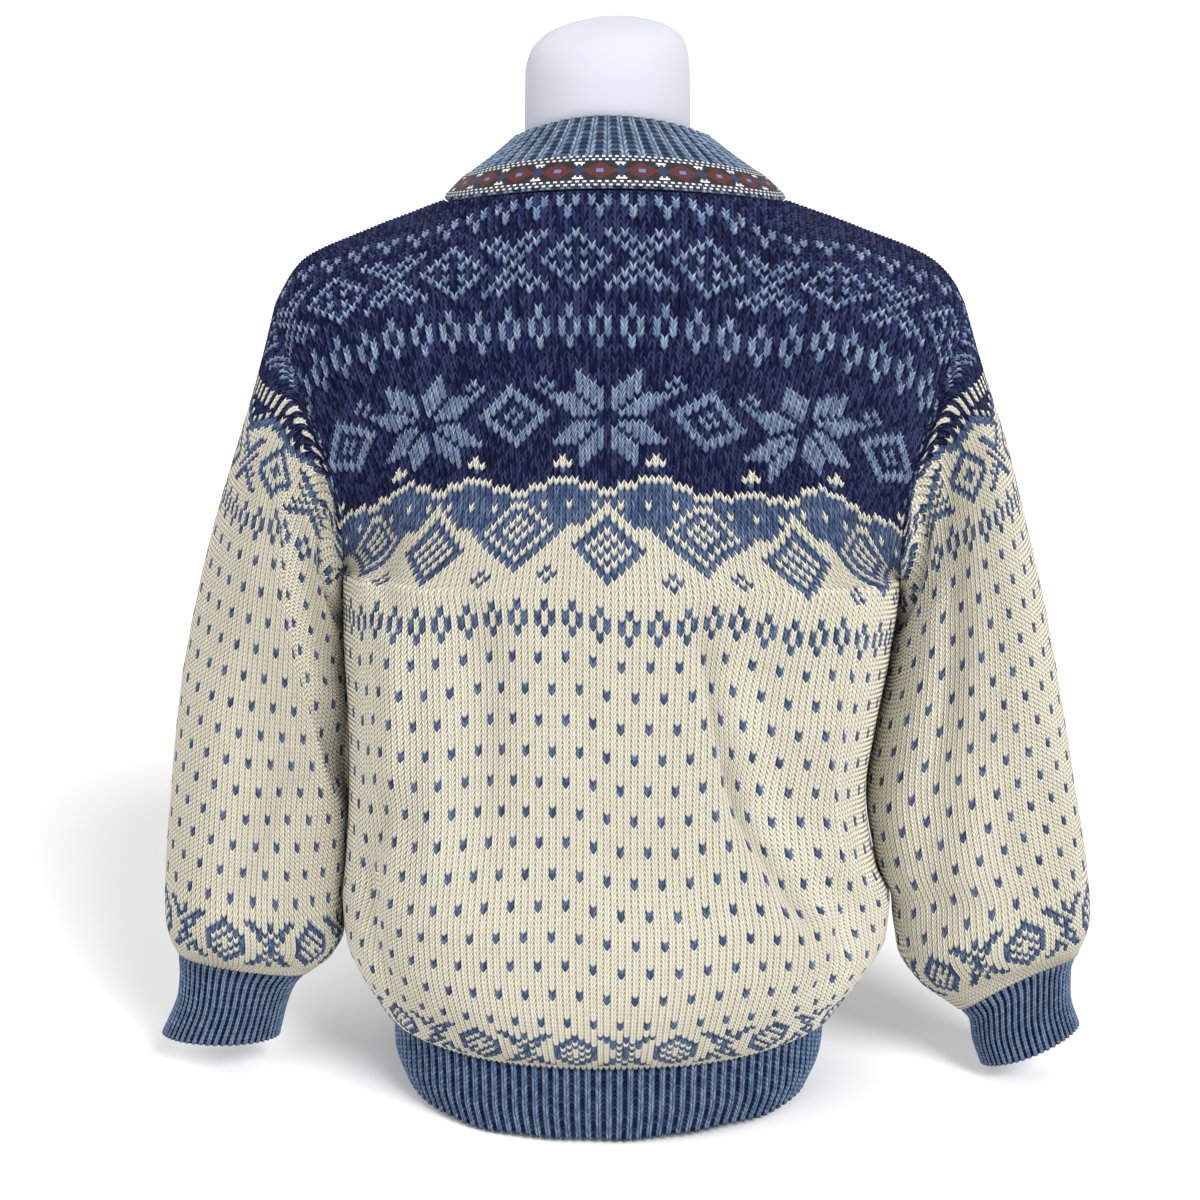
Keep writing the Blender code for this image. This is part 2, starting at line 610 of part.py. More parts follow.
def collar_surface(shares, angles):
    """Outer points of the collar: the neck opening's ring, drawn in towards the neck."""
    points = np.zeros((len(shares), len(angles), 3))
    for i, share in enumerate(shares):
        level = read(COLLAR, COLLAR_COLUMNS, share)
        back = np.cos(angles) < 0
        turn = np.abs(np.cos(angles))
        half = np.where(np.sin(angles) > 0, level["left"], level["right"])
        depth = np.where(back, level["back"], level["front"])
        end = np.where(back, level["rise_back"], level["rise_front"])
        points[i, :, 0] = -half * np.sin(angles)
        points[i, :, 1] = depth * np.cos(angles)
        points[i, :, 2] = level["rise_side"] + (end - level["rise_side"]) * turn ** NECK_FALL
    return points


def collar_angles(count):
    level = read(COLLAR, COLLAR_COLUMNS, 0.5)
    fine = np.linspace(0, 2 * math.pi, 2001)
    path = collar_surface([0.5], fine)[0]
    run = np.concatenate([[0], np.cumsum(np.linalg.norm(np.diff(path, axis=0), axis=1))])
    slit = COLLAR_SLIT
    return np.interp(np.linspace(slit, run[-1] - slit, count), run, fine)


def strip_normals(points):
    return unit(np.cross(np.gradient(points, axis=1), np.gradient(points, axis=0)))


def neck_half(x):
    return np.where(x < 0, COLLAR[0][1], COLLAR[0][2])


def collar_normals(angles):
    """Which way the collar faces at its lower edge."""
    step = 0.01
    here = collar_surface([0.0, 0.1], angles)
    after = collar_surface([0.0], angles + step)[0]
    return unit(np.cross(after - here[0], here[1] - here[0]))


def draw_back(points, first_row=0.0, last_row=0.0, first_column=0.0, last_column=0.0):
    """Pull a grid's edges back from their seams by these lengths."""
    for gap, edge, inner in ((first_row, 0, 1), (last_row, -1, -2)):
        points[edge] += unit(points[inner] - points[edge]) * np.reshape(gap, (-1, 1))
    for gap, edge, inner in ((first_column, 0, 1), (last_column, -1, -2)):
        points[:, edge] += unit(points[:, inner] - points[:, edge]) * gap


def zipper(outer, inner, step, closed):
    """Triangles of a rim between a row of outer points and a row of fewer inner ones."""
    faces = []
    count = len(inner) if closed else len(inner) - 1
    for k in range(count):
        a, b = inner[k], inner[(k + 1) % len(inner)]
        run = [outer[(k * step + i) % len(outer)] for i in range(step + 1)]
        half = step // 2
        faces += [(a, run[i], run[i + 1]) for i in range(half)]
        faces.append((a, run[half], b))
        faces += [(b, run[i], run[i + 1]) for i in range(half, step)]
    return faces


def wall(name, outer, normal, thickness, colour, closed=False, step=1):
    """A closed solid: the outer grid, an inner one of every step-th column, and their rims."""
    inner = (outer - normal * thickness)[:, ::step]
    rows, columns = outer.shape[:2]
    inside = inner.shape[1]
    vertices = np.concatenate([outer.reshape(-1, 3), inner.reshape(-1, 3)]) * MM
    out = np.arange(rows * columns).reshape(rows, columns)
    within = rows * columns + np.arange(rows * inside).reshape(rows, inside)
    faces = []
    for grid, width in ((out, columns), (within, inside)):
        for i in range(rows - 1):
            for j in range(width if closed else width - 1):
                k = (j + 1) % width
                faces.append((grid[i, j], grid[i, k], grid[i + 1, k], grid[i + 1, j]))
    for row in (0, -1):
        faces += zipper(list(out[row]), list(within[row]), step, closed)
    if not closed:
        for edge in (0, -1):
            for i in range(rows - 1):
                faces.append((out[i, edge], out[i + 1, edge], within[i + 1, edge], within[i, edge]))
    return add_object(name, vertices, faces, colour)


def add_object(name, vertices, faces, colour):
    mesh = bpy.data.meshes.new(name)
    mesh.from_pydata([tuple(map(float, v)) for v in vertices], [],
                     [tuple(int(i) for i in face) for face in faces])
    work = bmesh.new()
    work.from_mesh(mesh)
    bmesh.ops.recalc_face_normals(work, faces=work.faces)
    work.to_mesh(mesh)
    work.free()
    mesh.shade_smooth()
    mesh.set_sharp_from_angle(angle=math.radians(50))
    made = bpy.data.objects.new(name, mesh)
    bpy.context.collection.objects.link(made)
    mesh.materials.append(material(name, colour))
    return made


def material(name, colour):
    base, roughness, metallic = COLOURS[colour]
    made = bpy.data.materials.new(name)
    made.use_nodes = True
    shader = made.node_tree.nodes["Principled BSDF"]
    shader.inputs["Base Color"].default_value = (*base, 1)
    shader.inputs["Roughness"].default_value = roughness
    shader.inputs["Metallic"].default_value = metallic
    return made


def make_panels():
    edge = (BAND_HALF + SEAM_GAP) / (PANEL_WIDTH / 2)
    for name, face, first, last in (
            ("back", -1, -1.0, 1.0),
            ("front_left", 1, -1.0, -edge),
            ("front_right", 1, edge, 1.0)):
        points, normal = panel_grid(face, first, last)
        draw_back(points, SEAM_GAP, SEAM_GAP, SEAM_GAP, SEAM_GAP)
        wall(name, points, normal, BODY_WALL, "knit")


def make_sleeves():
    for side in ("left", "right"):
        points, normal = sleeve_grid(side)
        turns = np.linspace(0, 2 * math.pi, points.shape[1] + 1)[:-1]
        armpit = ARMPIT_GAP * np.maximum(np.cos(turns), 0) ** 6
        draw_back(points, SEAM_GAP + armpit, SEAM_GAP)
        points[0, :, 0] += armpit * (-1 if side == "left" else 1)
        wall("sleeve_" + side, points, normal, BODY_WALL, "knit", closed=True)
        points, normal = cuff_grid(side)
        draw_back(points, CUFF_EDGE_GAP)
        wall("cuff_" + side, points, normal, RIB_WALL, "rib", closed=True, step=4)


def make_hem():
    points, normal = hem_grid()
    draw_back(points, FINE_EDGE_GAP)
    wall("hem_rib", points, normal, RIB_WALL, "rib", step=4)


def make_collar():
    shares = np.array([0, RIBBON_SHARE - 0.01, RIBBON_SHARE + 0.06, 1.0])
    angles = collar_angles(2 * COLLAR_RIBS + 1)
    points = collar_surface(shares, angles)
    normal = strip_normals(points)
    raise_ribs(points, normal, (0, 0, 1, 0.8))
    draw_back(points, FINE_EDGE_GAP)
    wall("collar", points, normal, RIB_WALL, "rib", step=4)
    shares = np.array([RIBBON_START, RIBBON_SHARE])
    angles = collar_angles(2 * COLLAR_RIBS + 1)[::2]
    points = collar_surface(shares, angles)
    normal = strip_normals(points)
    points = points + normal * (RIBBON_LIFT + RIBBON_WALL)
    wall("neck_ribbon", points, normal, RIBBON_WALL, "ribbon")


def front_line(offsets):
    """Outer points down the centre front at these distances from it, from the neck to the hem."""
    surface = body_surface(1)
    share_grid, cloth_grid = np.meshgrid(np.array(offsets) / (PANEL_WIDTH / 2), panel_rows()[::-1])
    kept = cut_to_reach(cloth_grid, share_grid, 1)
    upper = sample(surface, (share_grid + 1) / 2, kept / PANEL_LENGTH)
    lower = []
    for height in (56, 30, 5):
        level = read(HEM[::-1], HEM_COLUMNS, height)
        lower.append([(x * band_scale(), level["front"], height) for x in offsets])
    return np.concatenate([upper, np.array(lower, float)])


def make_bands():
    """The front bands: the left one lies under the right one, which carries the buttons."""
    under = front_line((-BAND_HALF, 0, BAND_HALF - 1))
    normal = strip_normals(under)
    draw_back(under, FINE_EDGE_GAP)
    wall("band_left", under, normal, RIB_WALL, "rib")
    over = front_line((-BAND_HALF, 0, BAND_HALF, BAND_HALF + 3))
    normal = strip_normals(over)
    over = over + normal * (RIB_WALL + LAYER_GAP)
    draw_back(over, 2 * FINE_EDGE_GAP)
    wall("band_right", over, normal, RIB_WALL, "rib")
    return over, normal


def make_buttons(over, normal):
    centre = over[:, 1]
    run = np.concatenate([[0], np.cumsum(np.linalg.norm(np.diff(centre, axis=0), axis=1))])
    run = run[-1] - run
    for number, place in enumerate(np.linspace(FIRST_BUTTON, LAST_BUTTON, BUTTON_COUNT), 1):
        seat = np.array([np.interp(place, run[::-1], centre[::-1, axis]) for axis in range(3)])
        near = np.clip(place + np.linspace(-BUTTON_RADIUS, BUTTON_RADIUS, 19), 0, run[0])
        under = np.stack([np.interp(near, run[::-1], centre[::-1, axis]) for axis in range(3)], axis=1)
        out = unit(np.array([np.interp(place, run[::-1], normal[::-1, 1, axis]) for axis in range(3)]))
        lift = LAYER_GAP + max(0.0, float(((under - seat) @ out).max()))
        side = np.array([1.0, 0, 0])
        up = unit(np.cross(out, side))
        vertices, faces = [], []
        for height, share in BUTTON_PROFILE:
            for k in range(BUTTON_SIDES):
                angle = 2 * math.pi * k / BUTTON_SIDES
                spoke = side * math.cos(angle) + up * math.sin(angle)
                vertices.append(seat + out * (lift + height) + spoke * BUTTON_RADIUS * share)
        for level in range(len(BUTTON_PROFILE) - 1):
            for k in range(BUTTON_SIDES):
                a, b = level * BUTTON_SIDES + k, level * BUTTON_SIDES + (k + 1) % BUTTON_SIDES
                faces.append((a, b, b + BUTTON_SIDES, a + BUTTON_SIDES))
        faces.append(tuple(range(BUTTON_SIDES)))
        last = (len(BUTTON_PROFILE) - 1) * BUTTON_SIDES
        faces.append(tuple(last + k for k in range(BUTTON_SIDES)))
        add_object("button_%d" % number, np.array(vertices) * MM, faces, "button")


def make_form():
    """The limbless dress form, with a flat base and a domed neck."""
    vertices, faces = [], []
    angles = np.linspace(0, 2 * math.pi, FORM_SIDES + 1)[:-1]
    for row in FORM:
        height, half, back, front, lean = row
        depth = np.where(np.cos(angles) > 0, front, back)
        for x, y in zip(lean + half * np.sin(angles), depth * np.cos(angles)):
            vertices.append((x, y, height))
    for i in range(len(FORM) - 1):
        for j in range(FORM_SIDES):
            a, b = i * FORM_SIDES + j, i * FORM_SIDES + (j + 1) % FORM_SIDES
            faces.append((a, b, b + FORM_SIDES, a + FORM_SIDES))
    faces.append(tuple(range(FORM_SIDES)))
    top = (len(FORM) - 1) * FORM_SIDES
    faces.append(tuple(top + j for j in range(FORM_SIDES)))
    add_object("dress_form", np.array(vertices) * MM, faces, "form")


for old in list(bpy.data.objects):
    bpy.data.objects.remove(old)
make_form()
make_panels()
make_sleeves()
make_hem()
make_collar()
button_seat = make_bands()
make_buttons(*button_seat)
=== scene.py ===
"""A knitted wool cardigan on a limbless dress form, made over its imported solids.

Metres, +Z up. The garment's back faces -Y, towards the camera. The tables are in millimetres and are
those of the part's source, so each knitted piece lies on its own solid.
"""
import functools
import math

import bpy
import numpy as np
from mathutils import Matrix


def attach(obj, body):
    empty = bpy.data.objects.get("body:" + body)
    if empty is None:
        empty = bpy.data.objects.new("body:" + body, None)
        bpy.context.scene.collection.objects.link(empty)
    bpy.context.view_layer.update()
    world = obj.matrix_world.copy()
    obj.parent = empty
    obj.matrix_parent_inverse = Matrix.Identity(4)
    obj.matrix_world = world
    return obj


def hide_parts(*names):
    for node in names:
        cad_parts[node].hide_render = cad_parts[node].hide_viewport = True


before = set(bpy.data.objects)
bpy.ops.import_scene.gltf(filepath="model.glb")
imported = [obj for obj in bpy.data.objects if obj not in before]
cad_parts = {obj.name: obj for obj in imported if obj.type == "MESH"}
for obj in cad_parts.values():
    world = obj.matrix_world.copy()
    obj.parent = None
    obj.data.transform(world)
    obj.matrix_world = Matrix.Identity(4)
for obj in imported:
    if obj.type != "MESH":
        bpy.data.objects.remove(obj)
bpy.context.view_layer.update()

MM = 0.001

# The photograph: the back of the garment from a little above, in soft and even studio light.
# The floor is plain and pale, and runs out of the picture on every side.
FLOOR_HALF = 20.0
SUNS = (  # where each soft light comes from, its strength, its width in degrees
    ((0.7, -1.0, 1.0), 3.0, 24),
    ((-1.0, -0.8, 1.1), 1.35, 50),
    ((0.1, 0.7, 1.5), 0.7, 40),
)
SKY_STRENGTH = 0.38
LENS_LENGTH, SENSOR_WIDTH = 71.31, 36.0          # in millimetres
CAMERA_PLACE = (-0.0045, -1.58, 0.885)
CAMERA_TILT = 71.8       # in degrees up from straight down


def placed(name, data):
    made = bpy.data.objects.new(name, data)
    bpy.context.collection.objects.link(made)
    return made


def add_mesh(name, vertices, faces, material):
    mesh = bpy.data.meshes.new(name)
    mesh.from_pydata([tuple(map(float, vertex)) for vertex in vertices], [],
                     [tuple(map(int, face)) for face in faces])
    mesh.shade_smooth()
    mesh.materials.append(material)
    return placed(name, mesh)


def srgb(red, green, blue):
    """A colour as a maker reads it from a swatch, 0 to 255, turned into the renderer's own scale."""
    values = np.array([red, green, blue], float) / 255
    return np.where(values <= 0.04045, values / 12.92, ((values + 0.055) / 1.055) ** 2.4)


def node(tree, kind, *inputs, named=None, **settings):
    """One node of a tree. Its inputs, in order or by name, are values, sockets or other nodes."""
    made = tree.nodes.new(kind)
    for key, value in settings.items():
        setattr(made, key, value)
    pairs = list(zip([socket for socket in made.inputs if socket.enabled], inputs))
    pairs += [(made.inputs[key], value) for key, value in (named or {}).items()]
    for socket, value in pairs:
        if isinstance(value, bpy.types.Node):
            value = next(output for output in value.outputs if output.enabled)
        if isinstance(value, bpy.types.NodeSocket):
            tree.links.new(value, socket)
        else:
            socket.default_value = value
    return made


def maths(tree, operation, *inputs, clamp=False):
    return node(tree, "ShaderNodeMath", *inputs, operation=operation, use_clamp=clamp).outputs[0]


def noise(tree, place, *settings):
    """Noise at these places. The settings are its scale, its detail and its roughness."""
    return node(tree, "ShaderNodeTexNoise", place, *settings)


def mixed(tree, share, first, second, blend="MIX"):
    """A share of the way from one colour to another. Each is a triple or a socket."""
    made = node(tree, "ShaderNodeMix", share, data_type="RGBA", blend_type=blend)
    for socket, value in ((made.inputs[6], first), (made.inputs[7], second)):
        if isinstance(value, bpy.types.NodeSocket):
            tree.links.new(value, socket)
        else:
            socket.default_value = (*value, 1)
    return made.outputs[2]


def new_material(name):
    made = bpy.data.materials.new(name)
    made.use_nodes = True
    made.node_tree.nodes.clear()
    return made, made.node_tree


def object_place(tree):
    return node(tree, "ShaderNodeTexCoord").outputs["Object"]


def finish_material(tree, look, height=None, depth=0.0, strength=1.0):
    """The Principled surface of a material, with a height as its bump of this depth."""
    if height is not None:
        look["Normal"] = node(tree, "ShaderNodeBump",
                              named={"Strength": strength, "Distance": depth, "Height": height})
    node(tree, "ShaderNodeOutputMaterial", node(tree, "ShaderNodeBsdfPrincipled", named=look))


scene = bpy.context.scene
lens = bpy.data.cameras.new("camera")
lens.lens = LENS_LENGTH
lens.sensor_width = SENSOR_WIDTH
camera = placed("camera", lens)
camera.location = CAMERA_PLACE
camera.rotation_euler = (math.radians(CAMERA_TILT), 0, 0)
scene.camera = camera
scene.view_settings.view_transform = "Standard"

for number, (origin, strength, width) in enumerate(SUNS, 1):
    lamp = bpy.data.lights.new("sun_%d" % number, "SUN")
    lamp.energy = strength
    lamp.angle = math.radians(width)
    sun = placed(lamp.name, lamp)
    sun.location = origin
    sun.rotation_mode = "QUATERNION"
    sun.rotation_quaternion = sun.location.to_track_quat("Z", "Y")

scene.world = bpy.data.worlds.new("studio")
scene.world.use_nodes = True
sky = scene.world.node_tree.nodes["Background"].inputs
sky["Color"].default_value = (1.0, 1.0, 1.0, 1)
sky["Strength"].default_value = SKY_STRENGTH

pale, tree = new_material("pale_floor")
grain = noise(tree, object_place(tree), 3.0, 3.0)
finish_material(tree, {"Base Color": mixed(tree, grain, (0.93, 0.93, 0.93), (0.95, 0.95, 0.95)),
                       "Roughness": 0.9})
corners = [(FLOOR_HALF * x, FLOOR_HALF * y, 0) for x, y in ((-1, -1), (1, -1), (1, 1), (-1, 1))]
floor = add_mesh("floor", corners, [(0, 1, 2, 3)], pale)


# Dress form: a limbless body of hard foam with a domed neck, under one cover of stretched white
# cotton jersey. It stands on its flat base, and the cardigan rests on its shoulders.
# Each row: height, half width, back and front depths, and how far it leans to the right.
FORM_COLUMNS = ("height", "half", "back", "front", "lean")
FORM = (
    (0, 138, 96, 95, 0),
    (50, 143, 100, 99, 0),
    (120, 142, 98, 96, 0),
    (200, 130, 90, 90, 0),
    (260, 124, 86, 90, 0),
    (330, 134, 92, 102, 0),
    (400, 148, 100, 116, 1),
    (450, 155, 103, 113, 2),
    (510, 164, 99, 97, 4),
    (550, 173, 88, 80, 6),
    (575, 178, 74, 66, 6),
    (593, 179, 60, 54, 6),
    (606, 177, 48, 44, 6),
    (615, 172, 43, 38, 6),
    (621.5, 166, 41, 32, 6),
    (641.5, 113, 43, 20, 5.5),
    (651, 89, 50, 36, 4),
    (662, 67, 54, 48, 2),
    (680, 55, 54, 54, 0.5),
    (727, 54, 54, 54, 0.5),
    (741, 51.5, 51.5, 51.5, 1.5),
    (752, 44, 44, 44, 4),
    (759, 30, 30, 30, 6),
    (763, 13, 13, 13, 7),
)
FORM_SIDES = 96
FORM_SHRINK = 0.997      # the solid's flat faces lie this much inside its corners
SHOULDER_SINK = 1.0      # and its cover a little lower still, under the seams of the shoulders
JERSEY_WALES = 90        # to a radian
JERSEY_COURSES = 700     # to a metre


def column(table, names, name):
    return np.array([row[names.index(name)] for row in table], float)


def line_through(stations, values, at):
    """A smooth line through a table's column, which never overshoots it."""
    step = np.diff(stations)
    slope = np.diff(values) / step
    turn = np.zeros(len(stations))
    both = slope[1:] * slope[:-1]
    mean = slope[1:] + slope[:-1]
    turn[1:-1] = np.where(both > 0, 2 * both / np.where(mean == 0, 1, mean), 0)
    turn[0], turn[-1] = slope[0], slope[-1]
    at = np.clip(np.asarray(at, float), stations[0], stations[-1])
    i = np.clip(np.searchsorted(stations, at, side="right") - 1, 0, len(step) - 1)
    t = (at - stations[i]) / step[i]
    keep, carry = t * t * (2 * t - 3) + 1, t * t * (3 - 2 * t)
    ease_in, ease_out = t * (1 - t) ** 2, t * t * (t - 1)
    return (keep * values[i] + carry * values[i + 1]
            + step[i] * (ease_in * turn[i] + ease_out * turn[i + 1]))


def read(table, names, at):
    """Every column of a table at these values of its first one, as a dictionary."""
    stations = column(table, names, names[0])
    return {name: line_through(stations, column(table, names, name), at) for name in names[1:]}


def quads(grid):
    """The faces of a grid of points, given as the points' numbers."""
    return np.stack([grid[:-1, :-1], grid[:-1, 1:], grid[1:, 1:], grid[1:, :-1]], axis=2).reshape(-1, 4)


def closed_rings(name, rings, bottom, top, material):
    """A closed mesh through rings of points that run anticlockwise, from a bottom point to a top one."""
    levels, sides = rings.shape[:2]
    index = np.arange(levels * sides).reshape(levels, sides)
    index = np.concatenate([index, index[:, :1]], axis=1)
    faces = [*quads(index)]
    faces += [(b, a, levels * sides) for a, b in zip(index[0], index[0, 1:])]
    faces += [(a, b, levels * sides + 1) for a, b in zip(index[-1], index[-1, 1:])]
    return add_mesh(name, [*rings.reshape(-1, 3), bottom, top], faces, material)


def tie(piece, node_name):
    """Put a finished piece on the object's one body, in place of its solid."""
    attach(piece, "root")
    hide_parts(node_name)


# Fine stretched jersey: narrow wales, a little fuzz and a soft, bluish white.
jersey, tree = new_material("form_jersey")
wales = node(tree, "ShaderNodeUVMap", uv_map="jersey")
ribs = node(tree, "ShaderNodeTexWave", wales, 1.0, 0.6, 1.0, 2.0)
fuzz = noise(tree, wales, 0.9, 4.0, 0.6)
soft = maths(tree, "MULTIPLY", noise(tree, object_place(tree), 9.0, 2.0), 0.8)
finish_material(tree, {
    "Base Color": mixed(tree, soft, srgb(194, 196, 206), srgb(185, 188, 199)),
    "Roughness": maths(tree, "MULTIPLY_ADD", fuzz, 0.1, 0.82),
    "Sheen Weight": 0.25, "Sheen Roughness": 0.5},
    maths(tree, "MULTIPLY_ADD", ribs, 0.6, fuzz), 0.0003, 0.35)

heights = column(FORM, FORM_COLUMNS, "height")
rows = np.unique(np.concatenate([np.linspace(a, b, 5) for a, b in zip(heights[:-1], heights[1:])]))
at = read(FORM, FORM_COLUMNS, rows[:, None])
angles = -np.linspace(0, 2 * math.pi, FORM_SIDES, endpoint=False)
sink = SHOULDER_SINK * np.interp(rows, (540, 590, 642, 662), (0, 1, 1, 0))
rings = np.stack(np.broadcast_arrays(
    at["lean"] + at["half"] * FORM_SHRINK * np.sin(angles),
    np.where(np.cos(angles) > 0, at["front"], at["back"]) * FORM_SHRINK * np.cos(angles),
    (rows - sink)[:, None]), axis=2)
form = closed_rings("form_cover", rings * MM, (0, 0, 0), (0.0005, 0, rows[-1] * MM + 0.0008), jersey)
uv = form.data.uv_layers.new(name="jersey").data
for polygon in form.data.polygons:
    corners = [form.data.vertices[v].co for v in polygon.vertices]
    turns = [math.atan2(corner.x, corner.y) % (2 * math.pi) for corner in corners]
    wrap = max(turns) - min(turns) > math.pi
    for loop, corner, turn in zip(polygon.loop_indices, corners, turns):
        turn += 2 * math.pi if wrap and turn < math.pi else 0
        uv[loop].uv = (turn * JERSEY_WALES, corner.z * JERSEY_COURSES)
tie(form, "dress_form")


# Back panel: stranded stockinette in wool, knitted flat from the hem up to the shoulders and the neck,
# with navy above cream. It is sewn to the fronts at the sides and the shoulders, and to the sleeves.
SEAM_GAP = 0.25
PANEL_WIDTH = 512.0
PANEL_LENGTH = 600.0
ARMPIT = 351.0
NECK_HALF_CLOTH = 115.2
DENSE = 201
# Body: the cloth's height above the rib seam, half widths, depths, and the heights that it reaches.
LEVEL_COLUMNS = ("cloth", "left", "right", "back", "front",
                 "rise_left", "rise_right", "rise_back", "rise_front")
LEVELS = (
    (0, 158, 162, 118, 118, 64, 64, 64, 64),
    (14, 161, 166, 126, 125, 54, 54, 71, 71),
    (36, 170, 176, 134, 132, 67, 66, 91, 91),
    (62, 182, 192, 137.5, 134, 89, 89, 116, 116),
    (84, 189, 203, 138.5, 133, 110, 112, 138, 138),
    (112, 190.5, 205, 139, 131, 139, 141, 167, 167),
    (145, 187, 193, 137, 130, 174, 171, 200, 200),
    (200, 183, 184.5, 135, 129, 230, 224, 256, 255),
    (250, 182, 190, 133, 131, 282, 274, 307, 306),
    (300, 183, 198, 132, 136, 335, 325, 358, 357),
    (351, 182, 203, 132, 140, 388, 381, 410, 409),
    (420, 182, 203, 131, 139, 456, 451, 479, 477),
    (480, 182, 203, 127, 130, 516, 511, 538, 535),
    (540, 182, 203, 115, 105, 561, 561, 596, 589),
    (600, 182, 203, 86, 80, 601, 601, 654, 641),
)
ROUNDNESS = 2.25         # the exponent of a body section, where 2 is an ellipse
SIDE_FALL = 2.6          # how late a course falls towards the side seam
ARMHOLE_OPEN = 0.8       # how much sooner a course ends beside the armhole, in radians

# Shoulder crest, from the neck point to the top of the armhole: half widths and heights.
CREST_COLUMNS = ("cloth", "left", "right", "height")
CREST = (
    (115.2, 108, 119, 645),
    (168, 160, 173, 625),
    (216, 201.5, 217, 606),
    (240, 215, 233, 589),
    (256, 223, 241, 572),
)
ARMHOLE_DEPTH = 66.0     # half the armhole, front to back
ARMHOLE_INSET = 20.0     # how far the seam bows towards the body halfway up
BACK_NECK_DEPTH = 80.0
BACK_NECK_RISE = 18.0    # the back of the neck line above the neck points
FRONT_NECK_DEPTH = 96.0
FRONT_NECK_DROP = 44.0
NECK_FALL = 1.6          # how late the neck line leaves the neck points' height
FRONT_NECK_CUT = 58.0    # cloth cut away at the centre of the front neck
SOFTENING = 0.45         # how fast the neck line's corners round off down the panel
LEAST_SPREAD = 0.2       # in wales of the dense grid: at the edge itself nothing rounds off
CREST_EASE = (1.0, 1.35, 0.75)   # the surface turns late along Y and early along Z: a round shoulder
CREST_TURN = 135.0       # the length of cloth that turns from the panel to the shoulder
TURN_FALL = 5            # how late that length shortens towards the armhole

# Sleeves: the cloth's length from the armhole, the outer line, the inner line's gap to the body's side
# and its height, the half depth, and the shift along Y. Cuffs have their inner line's own place.
SLEEVE_COLUMNS = ("cloth", "out_x", "out_z", "gap", "in_z", "depth", "shift")
SLEEVES = {
    "left": (
        (0, 223, 572, 0, 388, 66, 0),
        (48, 234.5, 531, 1.4, 377, 71, 0),
        (100, 249.5, 485, 1, 361, 75, 0),
        (158, 268, 431, 1, 337, 75, 0),
        (225, 286, 366, 1, 302, 71, -2),
        (291, 300, 301, 1, 257, 66, -3),
        (364, 310, 230, 1, 200, 62, -4),
        (433, 318, 162, 1.2, 144, 57, -5),
        (465, 320, 130, 2.5, 114, 53, -5),
        (486, 317, 108, 17, 95, 42, -5),
        (497, 312, 100, 39, 83, 30, -5),
    ),
    "right": (
        (0, 241, 572, 0, 381, 66, 0),
        (48, 253.5, 533, 2, 371, 71, 0),
        (100, 270.5, 486, 1.8, 356, 74, 0),
        (158, 286.5, 432, 1.8, 336, 73, -2),
        (225, 304.5, 366, 1.8, 299, 70, -4),
        (291, 319, 301, 1.6, 258, 66, -7),
        (364, 333.5, 230, 2, 201, 60, -10),
        (433, 346, 164, 2.2, 142, 54, -13),
        (465, 349.5, 132, 9, 109, 50, -14),
        (486, 346, 113, 43, 79, 40, -15),
        (497, 342, 103, 88, 58, 28, -15),
    ),
}
UNDERARM_FALL = 2.4      # how late a sleeve's course falls towards the underarm
UNDERARM_EASE = 60.0     # the cloth over which that sets in down a sleeve, and fades out down a cuff
# Collar: share of its height, half widths, back and front depths, and heights at the back, side and front.
COLLAR_COLUMNS = ("share", "left", "right", "back", "front", "rise_back", "rise_side", "rise_front")
COLLAR = (
    (0, 108, 119, 80, 96, 663, 645, 601),
    (0.33, 94, 104, 73, 92, 680, 659, 614),
    (0.68, 74, 83, 64.5, 85, 695, 674, 628),
    (1, 59, 66, 58.5, 77, 707, 687, 639),
)
# Folds: start and end on the flat cloth, the width on each side of the line, and the depth.
# Body folds run on (distance from the centre to the right, height above the seam).
BACK_FOLDS = (
    (84, 390, 106, 270, 24, 50, -8),
    (104, 285, 148, 165, 24, 46, -11),
    (156, 150, 192, 98, 20, 26, -8),
    (-92, 345, -84, 160, 26, 30, -6),
    (-150, 205, -196, 110, 20, 24, -7),
    (20, 330, 34, 120, 34, 30, -4),
    (-30, 210, -20, 60, 26, 26, -4),
)
FRONT_FOLDS = (
    (96, 370, 138, 170, 24, 36, -13),
    (130, 190, 176, 96, 16, 28, -11),
    (-98, 360, -132, 180, 34, 22, -12),
    (-140, 200, -188, 104, 26, 16, -9),
    (-62, 240, -50, 90, 22, 24, -5),
)
# Sleeve folds run on (degrees round from the underarm by the back, length from the armhole).
PER_DEGREE = 430 / 360   # the millimetres of cloth in one
SLEEVE_FOLDS = {
    "left": (
        (86, 40, 34, 200, 30, 26, -13),
        (44, 190, 14, 320, 26, 22, -8),
        (92, 210, 34, 450, 24, 28, -6),
        (140, 120, 128, 260, 24, 24, -4),
        (262, 70, 318, 240, 22, 26, -12),
        (230, 250, 296, 430, 24, 24, -6),
    ),
    "right": (
        (84, 40, 58, 150, 26, 26, -10),
        (70, 170, 50, 440, 20, 28, -7),
        (104, 300, 62, 372, 22, 20, -4),
        (128, 330, 116, 450, 24, 26, -4),
        (266, 60, 312, 230, 24, 22, -12),
        (236, 240, 290, 430, 24, 24, -6),
    ),
}
SLEEVE_TOP_FADE, SLEEVE_FOOT_FADE = 40, 50       # millimetres of cloth over which those fade
EDGE_ROWS = 9            # how many rows of points turn from a seam's own facing to the cloth's
SEAM_KNOTS = 11          # from how many places along an armhole its facings are worked out
RISING_FROM = 20.0       # above this length of cloth the body's side seam only rises
BACK_WALES, BODY_COURSES = 113, 180
